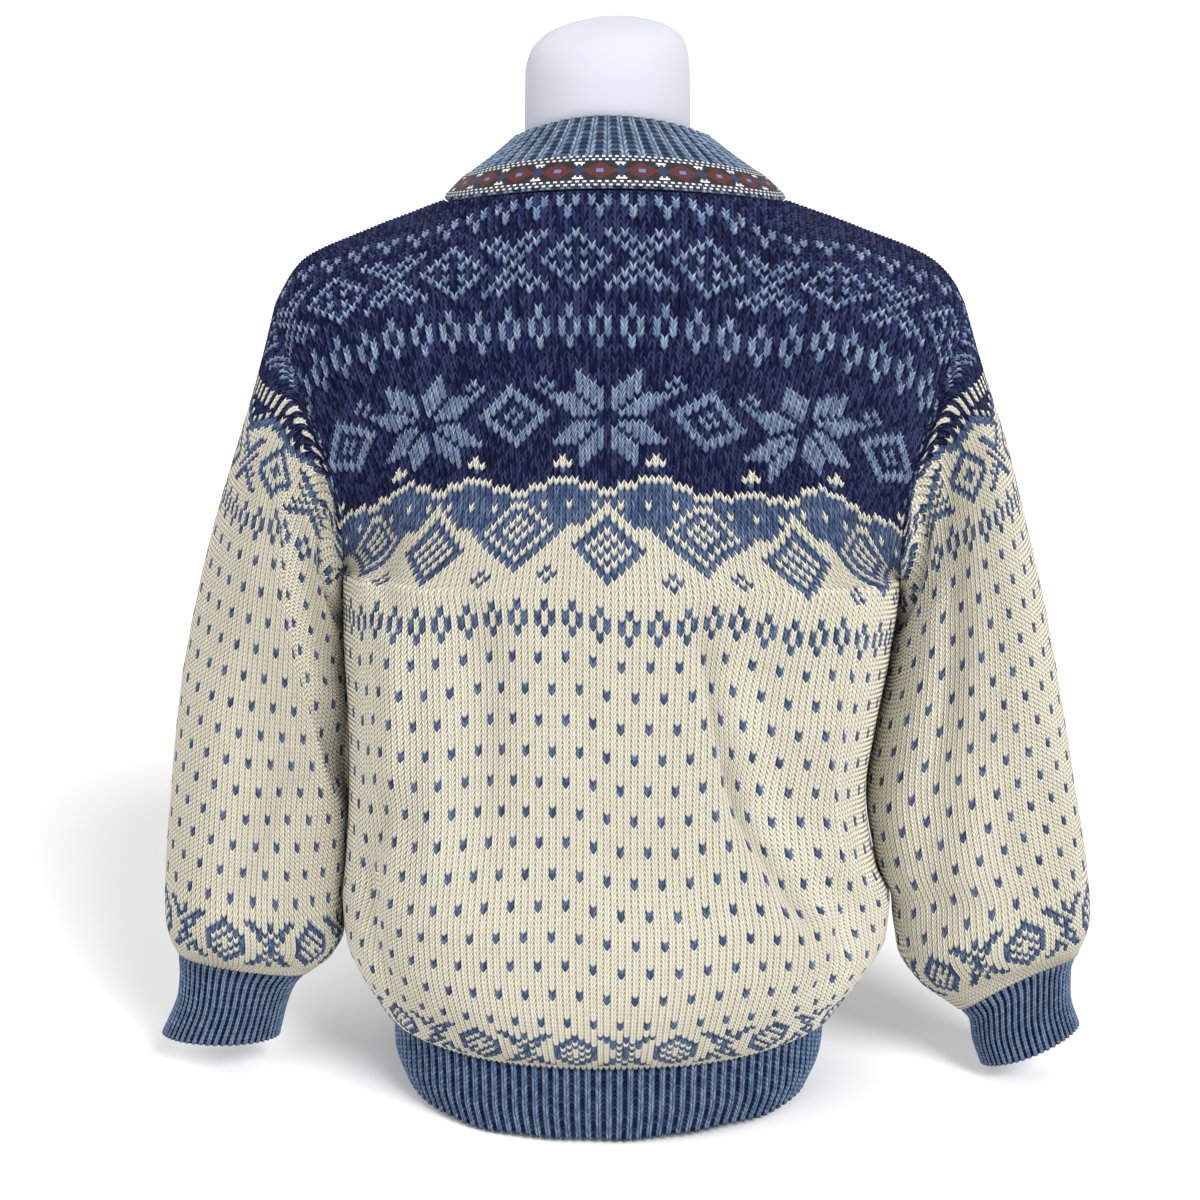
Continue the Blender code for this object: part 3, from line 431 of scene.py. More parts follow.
COURSE_AT = (  # millimetres up the cloth, course
    (0, 0), (36.8, 12), (46.4, 15), (182.6, 51), (312.5, 87), (327.5, 91), (352, 98), (430, 119.5),
    (511, 142), (538, 149), (547.6, 151), (585.9, 160), (593.9, 162), (602.0, 164), (608, 166),
    (615, 168), (700, 191))
TIP_DROP, TIP_LIFT = 2.0, 1.6     # the lowest stitches hang over the rib by this much
SAG_AT = (  # share of the half width, how many courses lower the cloth hangs there
    (-1, 6), (-0.75, 6), (-0.53, 5.2), (-0.42, 3.8), (-0.31, 2.2), (-0.24, 1.4), (-0.1, 1.3), (-0.06, 1.9),
    (0.03, 3.3), (0.18, 3.3), (0.27, 2.2), (0.35, 2.2), (0.45, 4), (0.53, 5.8), (0.62, 7.4), (0.72, 8.2),
    (1, 8.5))
SAG_BY_COURSE = ((0, 0), (8, 0), (34, 1), (96, 1), (119, -0.15), (150, 0), (200, 0))
FRONT_SAG = 1.4          # how soon a front's courses fall away from its centre
BACK_CREASES = (  # fine folds over those of the solid, in the same columns as BACK_FOLDS
    (60, 325, 92, 196, 9, 40, -13),
    (90, 212, 146, 100, 9, 32, -14),
    (150, 290, 180, 120, 26, 16, 7),
    (-27, 330, 10, 110, 8, 26, -4),
    (-92, 330, -104, 170, 12, 26, -6),
    (-150, 330, -160, 140, 22, 14, 5),
    (-196, 150, -160, 60, 10, 12, -6),
    (178, 130, 150, 60, 10, 12, -6),
    (-215, 420, -150, 330, 12, 18, -5),
    (216, 420, 160, 330, 18, 12, -5),
)
SIGN = {"left": -1, "right": 1}
FOLD_FADE = 0.5          # the share of its length over which a fold fades, half of it past its end
SIDE_FADE = 0.12         # the share of the half width over which the folds fade at the side seam
CREASE_SIDE_FADE = 0.1
CREASE_FOOT_FADE, CREASE_TOP_FADE = 30, 60       # millimetres of cloth over which the fine folds fade
ROUND_FROM, ROUND_WITHIN = 0.38, 0.16    # shares of the half width where the shoulder turns round
INSET_LENGTH = 90.0      # the length of sleeve over which the armhole's bow fades out


def smoothstep(t):
    t = np.clip(t, 0, 1)
    return t * t * (3 - 2 * t)


def unit(vectors):
    return vectors / np.maximum(np.linalg.norm(vectors, axis=-1, keepdims=True), 1e-9)


def run_up(points):
    """How far along its own line each point is, from the first one."""
    step = np.linalg.norm(np.diff(points, axis=0), axis=-1)
    return np.concatenate([np.zeros_like(step[:1]), np.cumsum(step, axis=0)])


def along(at, stations, values):
    """Rows of a table of points at these stations."""
    return np.stack([np.interp(at, stations, line) for line in values.T], axis=1)


def looked_up(table, at):
    """The second column of a table at these values of its first one."""
    return np.interp(at, *np.array(table).T)


def fold_height(folds, x, y, scale_x=1.0):
    """The sum of the folds at points of the flat cloth. Each fades out at both its ends."""
    height = np.zeros(np.shape(x))
    for start_x, start_y, end_x, end_y, near, far, depth in folds:
        run = np.array([(end_x - start_x) * scale_x, end_y - start_y])
        length = np.hypot(*run)
        run = run / length
        dx, dy = (x - start_x) * scale_x, y - start_y
        part = (dx * run[0] + dy * run[1]) / length
        across = dx * abs(run[1]) - dy * run[0] * np.sign(run[1])
        ends = smoothstep(part / FOLD_FADE + 0.5) * smoothstep((1 - part) / FOLD_FADE + 0.5)
        height += depth * ends * np.exp(-((across / np.where(across < 0, near, far)) ** 2))
    return height


def normals_of(points):
    """Unit normals of a grid of points, on the side to which rows cross columns."""
    return unit(np.cross(np.gradient(points, axis=1), np.gradient(points, axis=0)))


def armhole(side, turn, face):
    """The armhole seam. turn is 0 at the armpit and pi at the shoulder, and face is -1 at the back."""
    level = read(LEVELS, LEVEL_COLUMNS, ARMPIT)
    crest = read(CREST, CREST_COLUMNS, CREST[-1][0])
    share = (1 - np.cos(turn)) / 2
    x = level[side] + (crest[side] - level[side]) * share - ARMHOLE_INSET * np.sin(turn) ** 2
    z = level["rise_" + side] + (crest["height"] - level["rise_" + side]) * share
    return SIGN[side] * x, face * ARMHOLE_DEPTH * np.sin(turn), z


def neck_turn(shares):
    """Each wale's share of the way to its neck point, and how far the neck line has turned there."""
    inside = np.clip(np.abs(shares) * PANEL_WIDTH / 2 / NECK_HALF_CLOTH, 0, 1)
    return inside, np.sqrt(1 - inside ** 2)


def crest_line(shares, face):
    """The top edge of a panel: shoulder crest outside the neck points, and neck line between them."""
    crest = read(CREST, CREST_COLUMNS, np.abs(shares) * PANEL_WIDTH / 2)
    half = np.where(shares < 0, crest["left"], crest["right"])
    neck_half = np.where(shares < 0, CREST[0][1], CREST[0][2])
    inside, turn = neck_turn(shares)
    x = np.where(inside < 1, inside * neck_half, half) * np.sign(shares)
    fall = turn ** NECK_FALL
    if face < 0:
        return x, -BACK_NECK_DEPTH * turn, crest["height"] + BACK_NECK_RISE * fall
    return x, FRONT_NECK_DEPTH * turn, crest["height"] - FRONT_NECK_DROP * fall


def top_of(shares, face):
    """How much cloth each wale of a panel has, from the rib seam to its top edge."""
    return PANEL_LENGTH - (FRONT_NECK_CUT if face > 0 else 0) * neck_turn(shares)[1]


def softened(line, distances):
    """The top edge, ever rounder at its corners with each point's distance below it."""
    count = len(line)
    before = line[0] + (line[0] - line[1]) * np.arange(count, 0, -1)[:, None]
    after = line[-1] + (line[-1] - line[-2]) * np.arange(1, count + 1)[:, None]
    longer = np.concatenate([before, line, after])
    places = np.arange(len(longer)) - count
    spread = np.maximum(distances * SOFTENING / (PANEL_WIDTH / (count - 1)), LEAST_SPREAD)
    gap = (places[None, None] - np.arange(count)[None, :, None]) / spread[:, :, None]
    weight = np.exp(-0.5 * gap ** 2)
    weight /= weight.sum(axis=2, keepdims=True)
    return weight @ longer


@functools.lru_cache(maxsize=None)
def body_surface(face):
    """The outer surface of the back (face -1) or the fronts (face 1) as a dense grid of points."""
    shares = np.linspace(-1, 1, DENSE)
    cloths = np.linspace(0, PANEL_LENGTH, DENSE)
    depth_name = "back" if face < 0 else "front"
    levels = read(LEVELS, LEVEL_COLUMNS, cloths)
    points = np.zeros((DENSE, DENSE, 3))
    for row, cloth in enumerate(cloths):
        turn = math.pi * max(cloth - ARMPIT, 0) / (PANEL_LENGTH - ARMPIT)
        bend = np.linspace(0, math.pi / 2 - ARMHOLE_OPEN * np.sin(turn), 160)
        across = np.sin(bend) ** (2 / ROUNDNESS)
        inward = np.cos(bend) ** (2 / ROUNDNESS)
        middle, depth = levels["rise_" + depth_name][row], levels[depth_name][row]
        for side, sign in SIGN.items():
            edge = (sign * levels[side][row], 0.0, levels["rise_" + side][row])
            if cloth >= ARMPIT:
                edge = armhole(side, turn, face)
            x = edge[0] * across / across[-1]
            y = edge[1] + (face * depth - edge[1]) * (inward - inward[-1]) / (1 - inward[-1])
            line = np.stack([x, y], axis=1)
            run = run_up(line)
            here = shares * sign >= 0
            u = np.abs(shares[here])
            points[row, here, :2] = along(u, run / run[-1], line)
            points[row, here, 2] = middle + (edge[2] - middle) * u ** SIDE_FALL
    reach = top_of(shares, face)
    top = softened(np.stack(crest_line(shares, face), axis=1), reach[None] - cloths[:, None])
    turn_length = (CREST_TURN * (1 - np.abs(shares) ** TURN_FALL) + 0.01)[None]
    turned = smoothstep((cloths[:, None] - reach[None]) / turn_length + 1)[..., None]
    shoulder = smoothstep((np.abs(shares) - ROUND_FROM) / ROUND_WITHIN)[None, :, None]
    turned = turned ** (1 + (np.array(CREST_EASE) - 1) * shoulder)
    points = points * (1 - turned) + top * turned
    folds = BACK_FOLDS if face < 0 else FRONT_FOLDS
    flat_x, flat_y = np.meshgrid(shares * PANEL_WIDTH / 2, cloths)
    rise = fold_height(folds, flat_x, flat_y) * smoothstep((1 - np.abs(shares)) / SIDE_FADE)[None]
    return points + normals_of(points) * -face * rise[..., None]


def sample(surface, columns, rows):
    """Points of a dense grid at fractions 0 to 1 of its columns and rows."""
    last = np.array(surface.shape[:2]) - 1
    r, c = np.clip(rows, 0, 1) * last[0], np.clip(columns, 0, 1) * last[1]
    i, j = np.minimum(r.astype(int), last[0] - 1), np.minimum(c.astype(int), last[1] - 1)
    u, w = (r - i)[..., None], (c - j)[..., None]
    return ((surface[i, j] * (1 - w) + surface[i, j + 1] * w) * (1 - u)
            + (surface[i + 1, j] * (1 - w) + surface[i + 1, j + 1] * w) * u)


def side_line(side, heights):
    """How far the body's side seam is from the centre at these heights."""
    cloths = np.linspace(RISING_FROM, ARMPIT, 120)
    level = read(LEVELS, LEVEL_COLUMNS, cloths)
    return np.interp(heights, level["rise_" + side], level[side])


@functools.lru_cache(maxsize=None)
def tube_surface(side, cuff=False):
    """A sleeve or a cuff as a dense grid: rows run along it and columns go round from the underarm."""
    table, names = (CUFFS[side], CUFF_COLUMNS) if cuff else (SLEEVES[side], SLEEVE_COLUMNS)
    length = table[-1][0]
    cloths = np.linspace(0, length, DENSE)[:, None]
    turns = np.linspace(0, 2 * math.pi, DENSE)[None]
    at = read(table, names, cloths)
    if not cuff:
        at["in_x"] = side_line(side, at["in_z"]) + at["gap"]
    outward = (1 - np.cos(turns)) / 2
    eased = 1 - cloths / UNDERARM_EASE if cuff else cloths / UNDERARM_EASE
    fall = 1 + (UNDERARM_FALL - 1) * smoothstep(eased)
    x = at["in_x"] + (at["out_x"] - at["in_x"]) * outward
    if not cuff:
        x = x - ARMHOLE_INSET * np.sin(turns) ** 2 * smoothstep(1 - cloths / INSET_LENGTH)
    y = at["shift"] - at["depth"] * np.sin(turns)
    z = at["out_z"] + (at["in_z"] - at["out_z"]) * (1 - outward) ** fall
    points = np.stack(np.broadcast_arrays(SIGN[side] * x, y, z), axis=2)
    if cuff:
        return points
    middle = np.stack(np.broadcast_arrays(
        SIGN[side] * (at["in_x"] + at["out_x"]) / 2, at["shift"], z), axis=2)
    flat_x, flat_y = np.meshgrid(np.degrees(turns), cloths)
    rise = fold_height(SLEEVE_FOLDS[side], flat_x, flat_y, PER_DEGREE)
    rise *= smoothstep(flat_y / SLEEVE_TOP_FADE) * smoothstep((length - flat_y) / SLEEVE_FOOT_FADE)
    return points + unit(points - middle) * rise[..., None]


def ring_gradient(points):
    """Differences round a closed tube whose last column repeats its first."""
    open_ring = points[:, :-1]
    step = (np.roll(open_ring, -1, axis=1) - np.roll(open_ring, 1, axis=1)) / 2
    return np.concatenate([step, step[:, :1]], axis=1)


def tube_normals(side, surface):
    return unit(np.cross(ring_gradient(surface), np.gradient(surface, axis=0))) * -SIGN[side]


def armhole_normals(side, turns, face):
    """Which way the seam between a panel and a sleeve faces: the mean of the two walls."""
    knots = np.linspace(0, math.pi, SEAM_KNOTS)
    panel = normals_of(body_surface(face))[:, -1 if side == "right" else 0] * -face
    rows = (ARMPIT + (PANEL_LENGTH - ARMPIT) * knots / math.pi) / PANEL_LENGTH * (DENSE - 1)
    tube = tube_normals(side, tube_surface(side))[0]
    columns = (knots if face < 0 else 2 * math.pi - knots) / (2 * math.pi) * (DENSE - 1)
    mean = along(rows, np.arange(DENSE), panel) + along(columns, np.arange(DENSE), tube)
    mean[[0, -1], 1] = 0
    mean = unit(mean)
    mean[1:-1] = (mean[:-2] + 2 * mean[1:-1] + mean[2:]) / 4
    return unit(along(turns, knots, mean))


def collar_surface(shares, angles):
    """Outer points of the collar: the neck opening's ring, drawn in towards the neck."""
    level = read(COLLAR, COLLAR_COLUMNS, np.array(shares)[:, None])
    back = np.cos(angles) < 0
    half = np.where(np.sin(angles) > 0, level["left"], level["right"])
    depth = np.where(back, level["back"], level["front"])
    end = np.where(back, level["rise_back"], level["rise_front"])
    rise = level["rise_side"] + (end - level["rise_side"]) * np.abs(np.cos(angles)) ** NECK_FALL
    return np.stack([-half * np.sin(angles), depth * np.cos(angles), rise], axis=2)


def neck_half(x):
    return np.where(x < 0, COLLAR[0][1], COLLAR[0][2])


def collar_normals(angles):
    """Which way the collar faces at its lower edge."""
    step = 0.01
    here = collar_surface([0.0, 0.1], angles)
    after = collar_surface([0.0], angles + step)[0]
    return unit(np.cross(after - here[0], here[1] - here[0]))


def draw_back(points, first_row=0.0, last_row=0.0, first_column=0.0, last_column=0.0):
    """Pull a grid's edges back from their seams by these lengths."""
    for gap, edge, inner in ((first_row, 0, 1), (last_row, -1, -2)):
        points[edge] += unit(points[inner] - points[edge]) * np.reshape(gap, (-1, 1))
    for gap, edge, inner in ((first_column, 0, 1), (last_column, -1, -2)):
        points[:, edge] += unit(points[:, inner] - points[:, edge]) * gap


def eased_edge(normal, edge, wanted, kept=slice(None)):
    """Turn the normals beside one edge of a grid gently into the seam's own ones."""
    line = np.moveaxis(normal, 1, 0) if edge in SIGN else normal
    order = range(EDGE_ROWS) if edge in ("left", "bottom") else range(-1, -EDGE_ROWS - 1, -1)
    for step, i in enumerate(order):
        share = smoothstep(1 - step / EDGE_ROWS)
        line[i, kept] = unit(line[i, kept] * (1 - share) + wanted * share)


def flattened(normal):
    """The same facings without their part along Y."""
    return unit(normal * (1, 0, 1))


def panel_sheet(face, first, last, columns=201, rows=201):
    """A body panel's outer points and facings, each column's share of the courses, and their places."""
    surface = body_surface(face)
    shares = np.linspace(first, last, columns)
    reach = top_of(shares, face)
    cloths = np.linspace(0, 1, rows)[:, None] * reach[None]
    where = (np.broadcast_to((shares + 1) / 2, cloths.shape), cloths / PANEL_LENGTH)
    points, normal = sample(surface, *where), unit(sample(normals_of(surface) * -face, *where))
    if face < 0:
        across = np.broadcast_to(shares * PANEL_WIDTH / 2, cloths.shape)
        inner = smoothstep((1 - np.abs(shares)) / CREASE_SIDE_FADE) * smoothstep(cloths / CREASE_FOOT_FADE)
        inner = inner * smoothstep((reach - cloths) / CREASE_TOP_FADE)
        points = points + normal * (fold_height(BACK_CREASES, across, cloths) * inner)[..., None]
    for edge, share in (("left", first), ("right", last)):
        if abs(share) < 1:
            continue
        index = 0 if edge == "left" else -1
        beside = cloths[:, index] >= ARMPIT
        wanted = flattened(normal[:, index])
        turns = math.pi * (cloths[beside, index] - ARMPIT) / (PANEL_LENGTH - ARMPIT)
        wanted[beside] = armhole_normals(edge, turns, face)
        eased_edge(normal, edge, wanted)
    inside = np.abs(shares) < NECK_HALF_CLOTH / (PANEL_WIDTH / 2)
    across = np.clip(points[-1, inside, 0] / neck_half(points[-1, inside, 0]), -1, 1)
    angles = math.pi + np.arcsin(across) if face < 0 else 2 * math.pi - np.arcsin(across)
    eased_edge(normal, "top", collar_normals(angles), inside)
    eased_edge(normal, "top", flattened(normal[-1, ~inside]), ~inside)
    draw_back(points, SEAM_GAP, SEAM_GAP, SEAM_GAP, SEAM_GAP)
    outward = unit(normal[0] * (1, 1, 0))
    points[0] += outward * TIP_LIFT - (0, 0, TIP_DROP)
    points[1] += outward * TIP_LIFT * 0.5
    course = looked_up(COURSE_AT, run_up(points) - TIP_DROP)
    sag = looked_up(SAG_AT, shares)
    if face > 0:
        sag = looked_up(SAG_AT, np.sign(shares)) * smoothstep(np.abs(shares) * FRONT_SAG)
    course = course + sag * looked_up(SAG_BY_COURSE, course)
    return points, normal, course[-1] / BODY_COURSES, course / course[-1]


# The net of stitches. Its wales keep their own width where the armholes take cloth away.
KNIT_INPUTS = (
    ("Wales", "NodeSocketInt", 100),
    ("Courses", "NodeSocketInt", 100),
    ("Columns a wale", "NodeSocketInt", 4),
    ("Lean", "NodeSocketFloat", 0.8),
    ("Relief", "NodeSocketFloat", 0.0011),
    ("Gap share", "NodeSocketFloat", 0.0),
    ("Gap depth", "NodeSocketFloat", 0.0),
    ("Unevenness", "NodeSocketFloat", 0.0008),
    ("Wall", "NodeSocketFloat", 0.0026),
    ("Spread", "NodeSocketFloat", 0.0),
    ("Tips", "NodeSocketFloat", 0.0),
    ("Anchor", "NodeSocketFloat", 0.5),
    ("Material", "NodeSocketMaterial", None),
)
INNER_STEP = 4           # the inner face has one row for this many courses
WIDER = (92.0, 145.0)    # the courses over which the wales spread
CLOSER = (142.0, 174.0)  # and those over which they close again, by this share
CLOSER_SHARE = 0.45
EDGE_SAFE = (0.00002, 0.99998)    # places this near an edge can still be sampled
NEAR_TOP, NEAR_SIDE = 0.02, 0.4   # of a course and of a wale: stitches this near an edge are gathered


def add_sockets(tree, in_out, sockets):
    for name, kind, value in sockets:
        made = tree.interface.new_socket(name, in_out=in_out, socket_type=kind)
        if value is not None:
            made.default_value = value


def knit_tree():
    """Lays a net of stitches on a surface, as an outer face with raised legs and a plain inner one."""
    tree = bpy.data.node_groups.new("knit_wall", "GeometryNodeTree")
    geometry = ("Geometry", "NodeSocketGeometry", None)
    add_sockets(tree, "INPUT", (geometry, *KNIT_INPUTS))
    add_sockets(tree, "OUTPUT", (geometry,))
    given = tree.nodes.new("NodeGroupInput").outputs
    m = functools.partial(maths, tree)

    def stored(name, kind="FLOAT_VECTOR"):
        return node(tree, "GeometryNodeInputNamedAttribute", name, data_type=kind)

    def vector(*parts):
        return node(tree, "ShaderNodeCombineXYZ", *parts)

    def sampled(kind, value, where):
        return node(tree, "GeometryNodeSampleUVSurface", given["Geometry"], value, stored("place"), where,
                    data_type=kind)

    def kept_inside(value):
        return m("MINIMUM", m("MAXIMUM", value, EDGE_SAFE[0]), EDGE_SAFE[1])

    spot = node(tree, "ShaderNodeSeparateXYZ", node(tree, "GeometryNodeInputPosition")).outputs
    across, up = m("ADD", spot[0], 0.5), m("ADD", spot[1], 0.5)
    course = m("MULTIPLY", up, given["Courses"])
    wider, closer = (node(tree, "ShaderNodeMapRange", course, start, end, 0.0, 1.0,
                          interpolation_type="SMOOTHSTEP") for start, end in (WIDER, CLOSER))
    wider = m("MULTIPLY", m("SUBTRACT", wider, m("MULTIPLY", closer, CLOSER_SHARE)), given["Spread"])
    shifted = m("MULTIPLY", m("SUBTRACT", across, given["Anchor"]), m("ADD", wider, 1.0))
    spread = m("ADD", shifted, given["Anchor"])
    inside = kept_inside(spread)
    kept_in = m("COMPARE", spread, inside, 0.0001)
    phase = m("FRACT", m("MULTIPLY", across, given["Wales"]))
    leg = m("MINIMUM", m("DIVIDE", phase, m("SUBTRACT", 1.0, given["Gap share"])), 1.0)
    slope = m("ABSOLUTE", m("SUBTRACT", m("MULTIPLY", leg, 2.0), 1.0))
    lean = m("MULTIPLY", m("MULTIPLY", slope, given["Lean"]),
             m("MINIMUM", m("ADD", course, given["Tips"]), 1.0))
    half_gap = m("MAXIMUM", m("DIVIDE", given["Gap share"], 2.0), 0.0001)
    from_gap = m("ABSOLUTE", m("SUBTRACT", phase, m("SUBTRACT", 1.0, half_gap)))
    gap = m("SUBTRACT", 1.0, m("DIVIDE", from_gap, half_gap), clamp=True)
    ridge = m("ADD", m("MULTIPLY", m("COSINE", m("MULTIPLY", leg, 4 * math.pi)), -0.5),
              m("MULTIPLY", m("COSINE", m("MULTIPLY", leg, 2 * math.pi)), -0.22))
    raised = m("SUBTRACT", m("MULTIPLY", ridge, given["Relief"]), m("MULTIPLY", gap, given["Gap depth"]))
    raised = m("MULTIPLY", raised, kept_in)
    wander = noise(tree, vector(m("MULTIPLY", inside, given["Wales"]), course, 0.0), 0.16, 2.0, 0.6)
    uneven = m("MULTIPLY", m("SUBTRACT", wander, 0.5), given["Unevenness"])
    fine = m("MULTIPLY", given["Wales"], given["Columns a wale"])
    reach = sampled("FLOAT", stored("reach", "FLOAT"), vector(inside, 0.5, 0.0))
    end = m("MULTIPLY", given["Courses"], reach)
    both = node(tree, "GeometryNodeJoinGeometry")
    for layer, count_x, step, row, lift in (
            (0.0, fine, 1.0, m("ADD", course, lean), m("ADD", raised, uneven)),
            (1.0, given["Wales"], 1 / INNER_STEP, course, m("MULTIPLY", given["Wall"], -1.0))):
        count_y = m("MULTIPLY", given["Courses"], step)
        grid = node(tree, "GeometryNodeMeshGrid", 1.0, 1.0, m("ADD", count_x, 1.0), m("ADD", count_y, 1.0))
        where = vector(inside, kept_inside(m("DIVIDE", row, end)), 0.0)
        point = sampled("FLOAT_VECTOR", node(tree, "GeometryNodeInputPosition"), where)
        out = sampled("FLOAT_VECTOR", stored("out"), where)
        offset = node(tree, "ShaderNodeVectorMath", out, named={"Scale": lift}, operation="SCALE")
        net = vector(m("MULTIPLY", across, count_x), m("MULTIPLY", up, count_y), layer)
        for name, value in (("net", net), ("ends", vector(row, end, spread))):
            grid = node(tree, "GeometryNodeStoreNamedAttribute", grid, True, name, value,
                        data_type="FLOAT_VECTOR", domain="POINT")
        moved = node(tree, "GeometryNodeSetPosition", grid, True, point, offset)
        tree.links.new(moved.outputs[0], both.inputs[0])
    whole = node(tree, "GeometryNodeRealizeInstances", both)
    node(tree, "NodeGroupOutput", node(tree, "GeometryNodeSetMaterial", whole, True, given["Material"]))
    return tree


net_of_stitches = knit_tree()


def fill(layer, key, values):
    """Give a new layer of a mesh its values."""
    layer.data.foreach_set(key, np.asarray(values, np.float32).ravel())


def net_mesh(name, settings, points, normal, reach, place=None):
    """The stitches on a smooth surface as one plain mesh: outer face first, then the inner one."""
    mesh = bpy.data.meshes.new(name + "_base")
    faces = quads(np.arange(points[..., 0].size).reshape(points.shape[:2]))
    mesh.from_pydata((points.reshape(-1, 3) * MM).tolist(), [], faces.tolist())
    run = run_up(points)
    run = run / run[-1] if place is None else place
    place = np.stack([np.broadcast_to(np.linspace(0, 1, run.shape[1]), run.shape), run], axis=2)
    fill(mesh.uv_layers.new(name="place"), "uv", place.reshape(-1, 2)[faces.ravel()])
    fill(mesh.attributes.new("out", "FLOAT_VECTOR", "POINT"), "vector", normal)
    fill(mesh.attributes.new("reach", "FLOAT", "POINT"), "value", np.broadcast_to(reach, run.shape))
    base = placed(mesh.name, mesh)
    modifier = base.modifiers.new("stitches", "NODES")
    modifier.node_group = net_of_stitches
    for item in net_of_stitches.interface.items_tree:
        if item.in_out == "INPUT" and item.name in settings:
            modifier[item.identifier] = settings[item.name]
    bpy.context.view_layer.update()
    plain = bpy.data.meshes.new_from_object(base.evaluated_get(bpy.context.evaluated_depsgraph_get()))
    base.modifiers.remove(modifier)
    bpy.data.objects.remove(base)
    return plain


def vectors(data, key):
    values = np.zeros(len(data) * 3, np.float32)
    data.foreach_get(key, values)
    return values.reshape(-1, 3)


def rim(fine, coarse, step, turned):
    """Triangles that join an edge of the outer face to the coarser edge of the inner one."""
    faces = []
    for k in range(len(coarse) - 1):
        a, b = coarse[k], coarse[k + 1]
        run = fine[k * step:(k + 1) * step + 1]
        half = max(step // 2, 1)
        made = [(run[i + 1], run[i], a) for i in range(half)]
        made.append((run[half], a, b))
        made += [(run[i + 1], run[i], b) for i in range(half, step)]
        faces += [face[::-1] for face in made] if turned else made
    return faces


def knitted(name, sheet, yarns, material, tube=False, columns=4, gap_painted_shade=None, **sizes):
    """A closed knitted wall. yarns is the colour of each stitch, by course from below and by wale."""
    courses, wales = yarns.shape[:2]
    gap_share = sizes.get("gap_share", 0.0)
    settings = {key.capitalize().replace("_", " "): value for key, value in sizes.items()}
    settings.update({"Wales": wales, "Courses": courses, "Columns a wale": columns, "Material": material})
    plain = net_mesh(name, settings, *sheet)
    points = vectors(plain.vertices, "co")
    net, ends = (vectors(plain.attributes[key].data, "vector") for key in ("net", "ends"))
    bpy.data.meshes.remove(plain)
    grids = []
    for layer in (0, 1):
        mine = np.nonzero(np.round(net[:, 2]) == layer)[0]
        at = np.round(net[mine, :2]).astype(int)
        grid = np.zeros((at[:, 1].max() + 1, at[:, 0].max() + 1), int)
        grid[at[:, 1], at[:, 0]] = mine
        grids.append(grid)
    outer, inner = grids

    # Stitches past the top or the sides of the surface are gathered into its edge.
    target = np.arange(len(points))
    sideways = target.copy()
    for grid in grids:
        over = ends[grid, 0] >= ends[grid, 1] - NEAR_TOP
        over[-1] = True
        for j, i in enumerate(over.argmax(axis=0)):
            target[grid[i:, j]] = grid[i, j]
        near = NEAR_SIDE / grid.shape[1]
        for far, edge in ((ends[grid, 2] < near, 0), (ends[grid, 2] > 1 - near, -1)):
            far[:, edge] = False
            sideways[grid[far]] = np.broadcast_to(grid[:, [edge]], grid.shape)[far]
        if tube:
            sideways[grid[:, -1]] = grid[:, 0]
    target = target[sideways[target]]

    corners = [*quads(outer), *quads(inner)[:, ::-1]]
    corners += rim(outer[0], inner[0], columns, False) + rim(outer[-1], inner[-1], columns, True)
    if not tube:
        corners += rim(outer[:, 0], inner[:, 0], INNER_STEP, True)
        corners += rim(outer[:, -1], inner[:, -1], INNER_STEP, False)
    faces, sources = [], []
    for face in corners:
        merged = target[list(face)]
        keep = [k for k in range(len(face)) if merged[k] != merged[k - 1]]
        if len(set(merged[keep])) > 2:
            faces.append(merged[keep])
            sources.append([face[k] for k in keep])
    used, renumbered = np.unique(np.concatenate(faces), return_inverse=True)
    sizes_of = np.array([len(source) for source in sources])
    starts = np.cumsum(sizes_of) - sizes_of
    made = add_mesh(name, points[used], np.split(renumbered.ravel(), starts[1:]), material)
    mesh = made.data

    # Each face takes its place in its own stitch, and that stitch's yarn.
    phase = (net[:, 0] % columns) / columns / (1 - gap_share)
    stitch = np.stack([net[:, 0] // columns + np.minimum(phase, 1), net[:, 1]], axis=1)
    back = np.round(net[:, 2]) == 1
    stitch[back] = np.stack([net[back, 0], net[back, 1] * INNER_STEP], axis=1)
    flat = np.concatenate(sources)
    fill(mesh.uv_layers.new(name="stitch"), "uv", stitch[flat])
    column = np.add.reduceat(np.where(back, net[:, 0] * columns, net[:, 0])[flat], starts) / sizes_of
    course = np.add.reduceat(stitch[flat, 1], starts) / sizes_of
    wale = np.clip((column // columns).astype(int), 0, wales - 1)
    colour = yarns[np.clip(course.astype(int), 0, courses - 1), wale]
    # In a rib, the sunk purl columns take the gap colour: painted shade for their recess.
    if gap_painted_shade is not None:
        colour = np.where(((column % columns) / columns > 1 - gap_share)[:, None], gap_painted_shade, colour)
    shown = np.concatenate([colour, np.ones((len(colour), 1))], axis=1)
    fill(mesh.color_attributes.new("yarn", "BYTE_COLOR", "CORNER"), "color",
         np.repeat(shown, sizes_of, axis=0))
    outward = np.cross(points[outer[1, 1]] - points[outer[1, 0]], points[outer[2, 0]] - points[outer[1, 0]])
    facing = sheet[1][max(1, (len(sheet[1]) - 1) // len(outer)), 1]
    if outward @ facing < 0:
        mesh.flip_normals()
    return made


CREAM = srgb(252, 245, 222)
MID_BLUE = srgb(70, 92, 134)
NAVY = srgb(16, 22, 64)
LIGHT_BLUE = srgb(112, 134, 170)
# The hem's and the bands' blue is the cuffs' yarn made darker: painted shade where the hem faces down.
RIB_BLUE_WITH_PAINTED_SHADE = srgb(88, 114, 150)
# The colour of a rib's sunk purl columns: painted shade, darker than its yarn.
RIB_PURL_PAINTED_SHADE = srgb(26, 40, 74)
YARNS = {"c": CREAM, "m": MID_BLUE, "n": NAVY, "l": LIGHT_BLUE}
KNIT_HEATHER, RIB_HEATHER, RIBBON_HEATHER = 0.14, 0.07, 0.05     # how far a yarn's stitches differ
CREAM_HEATHER = 0.15     # and the share of that in cream

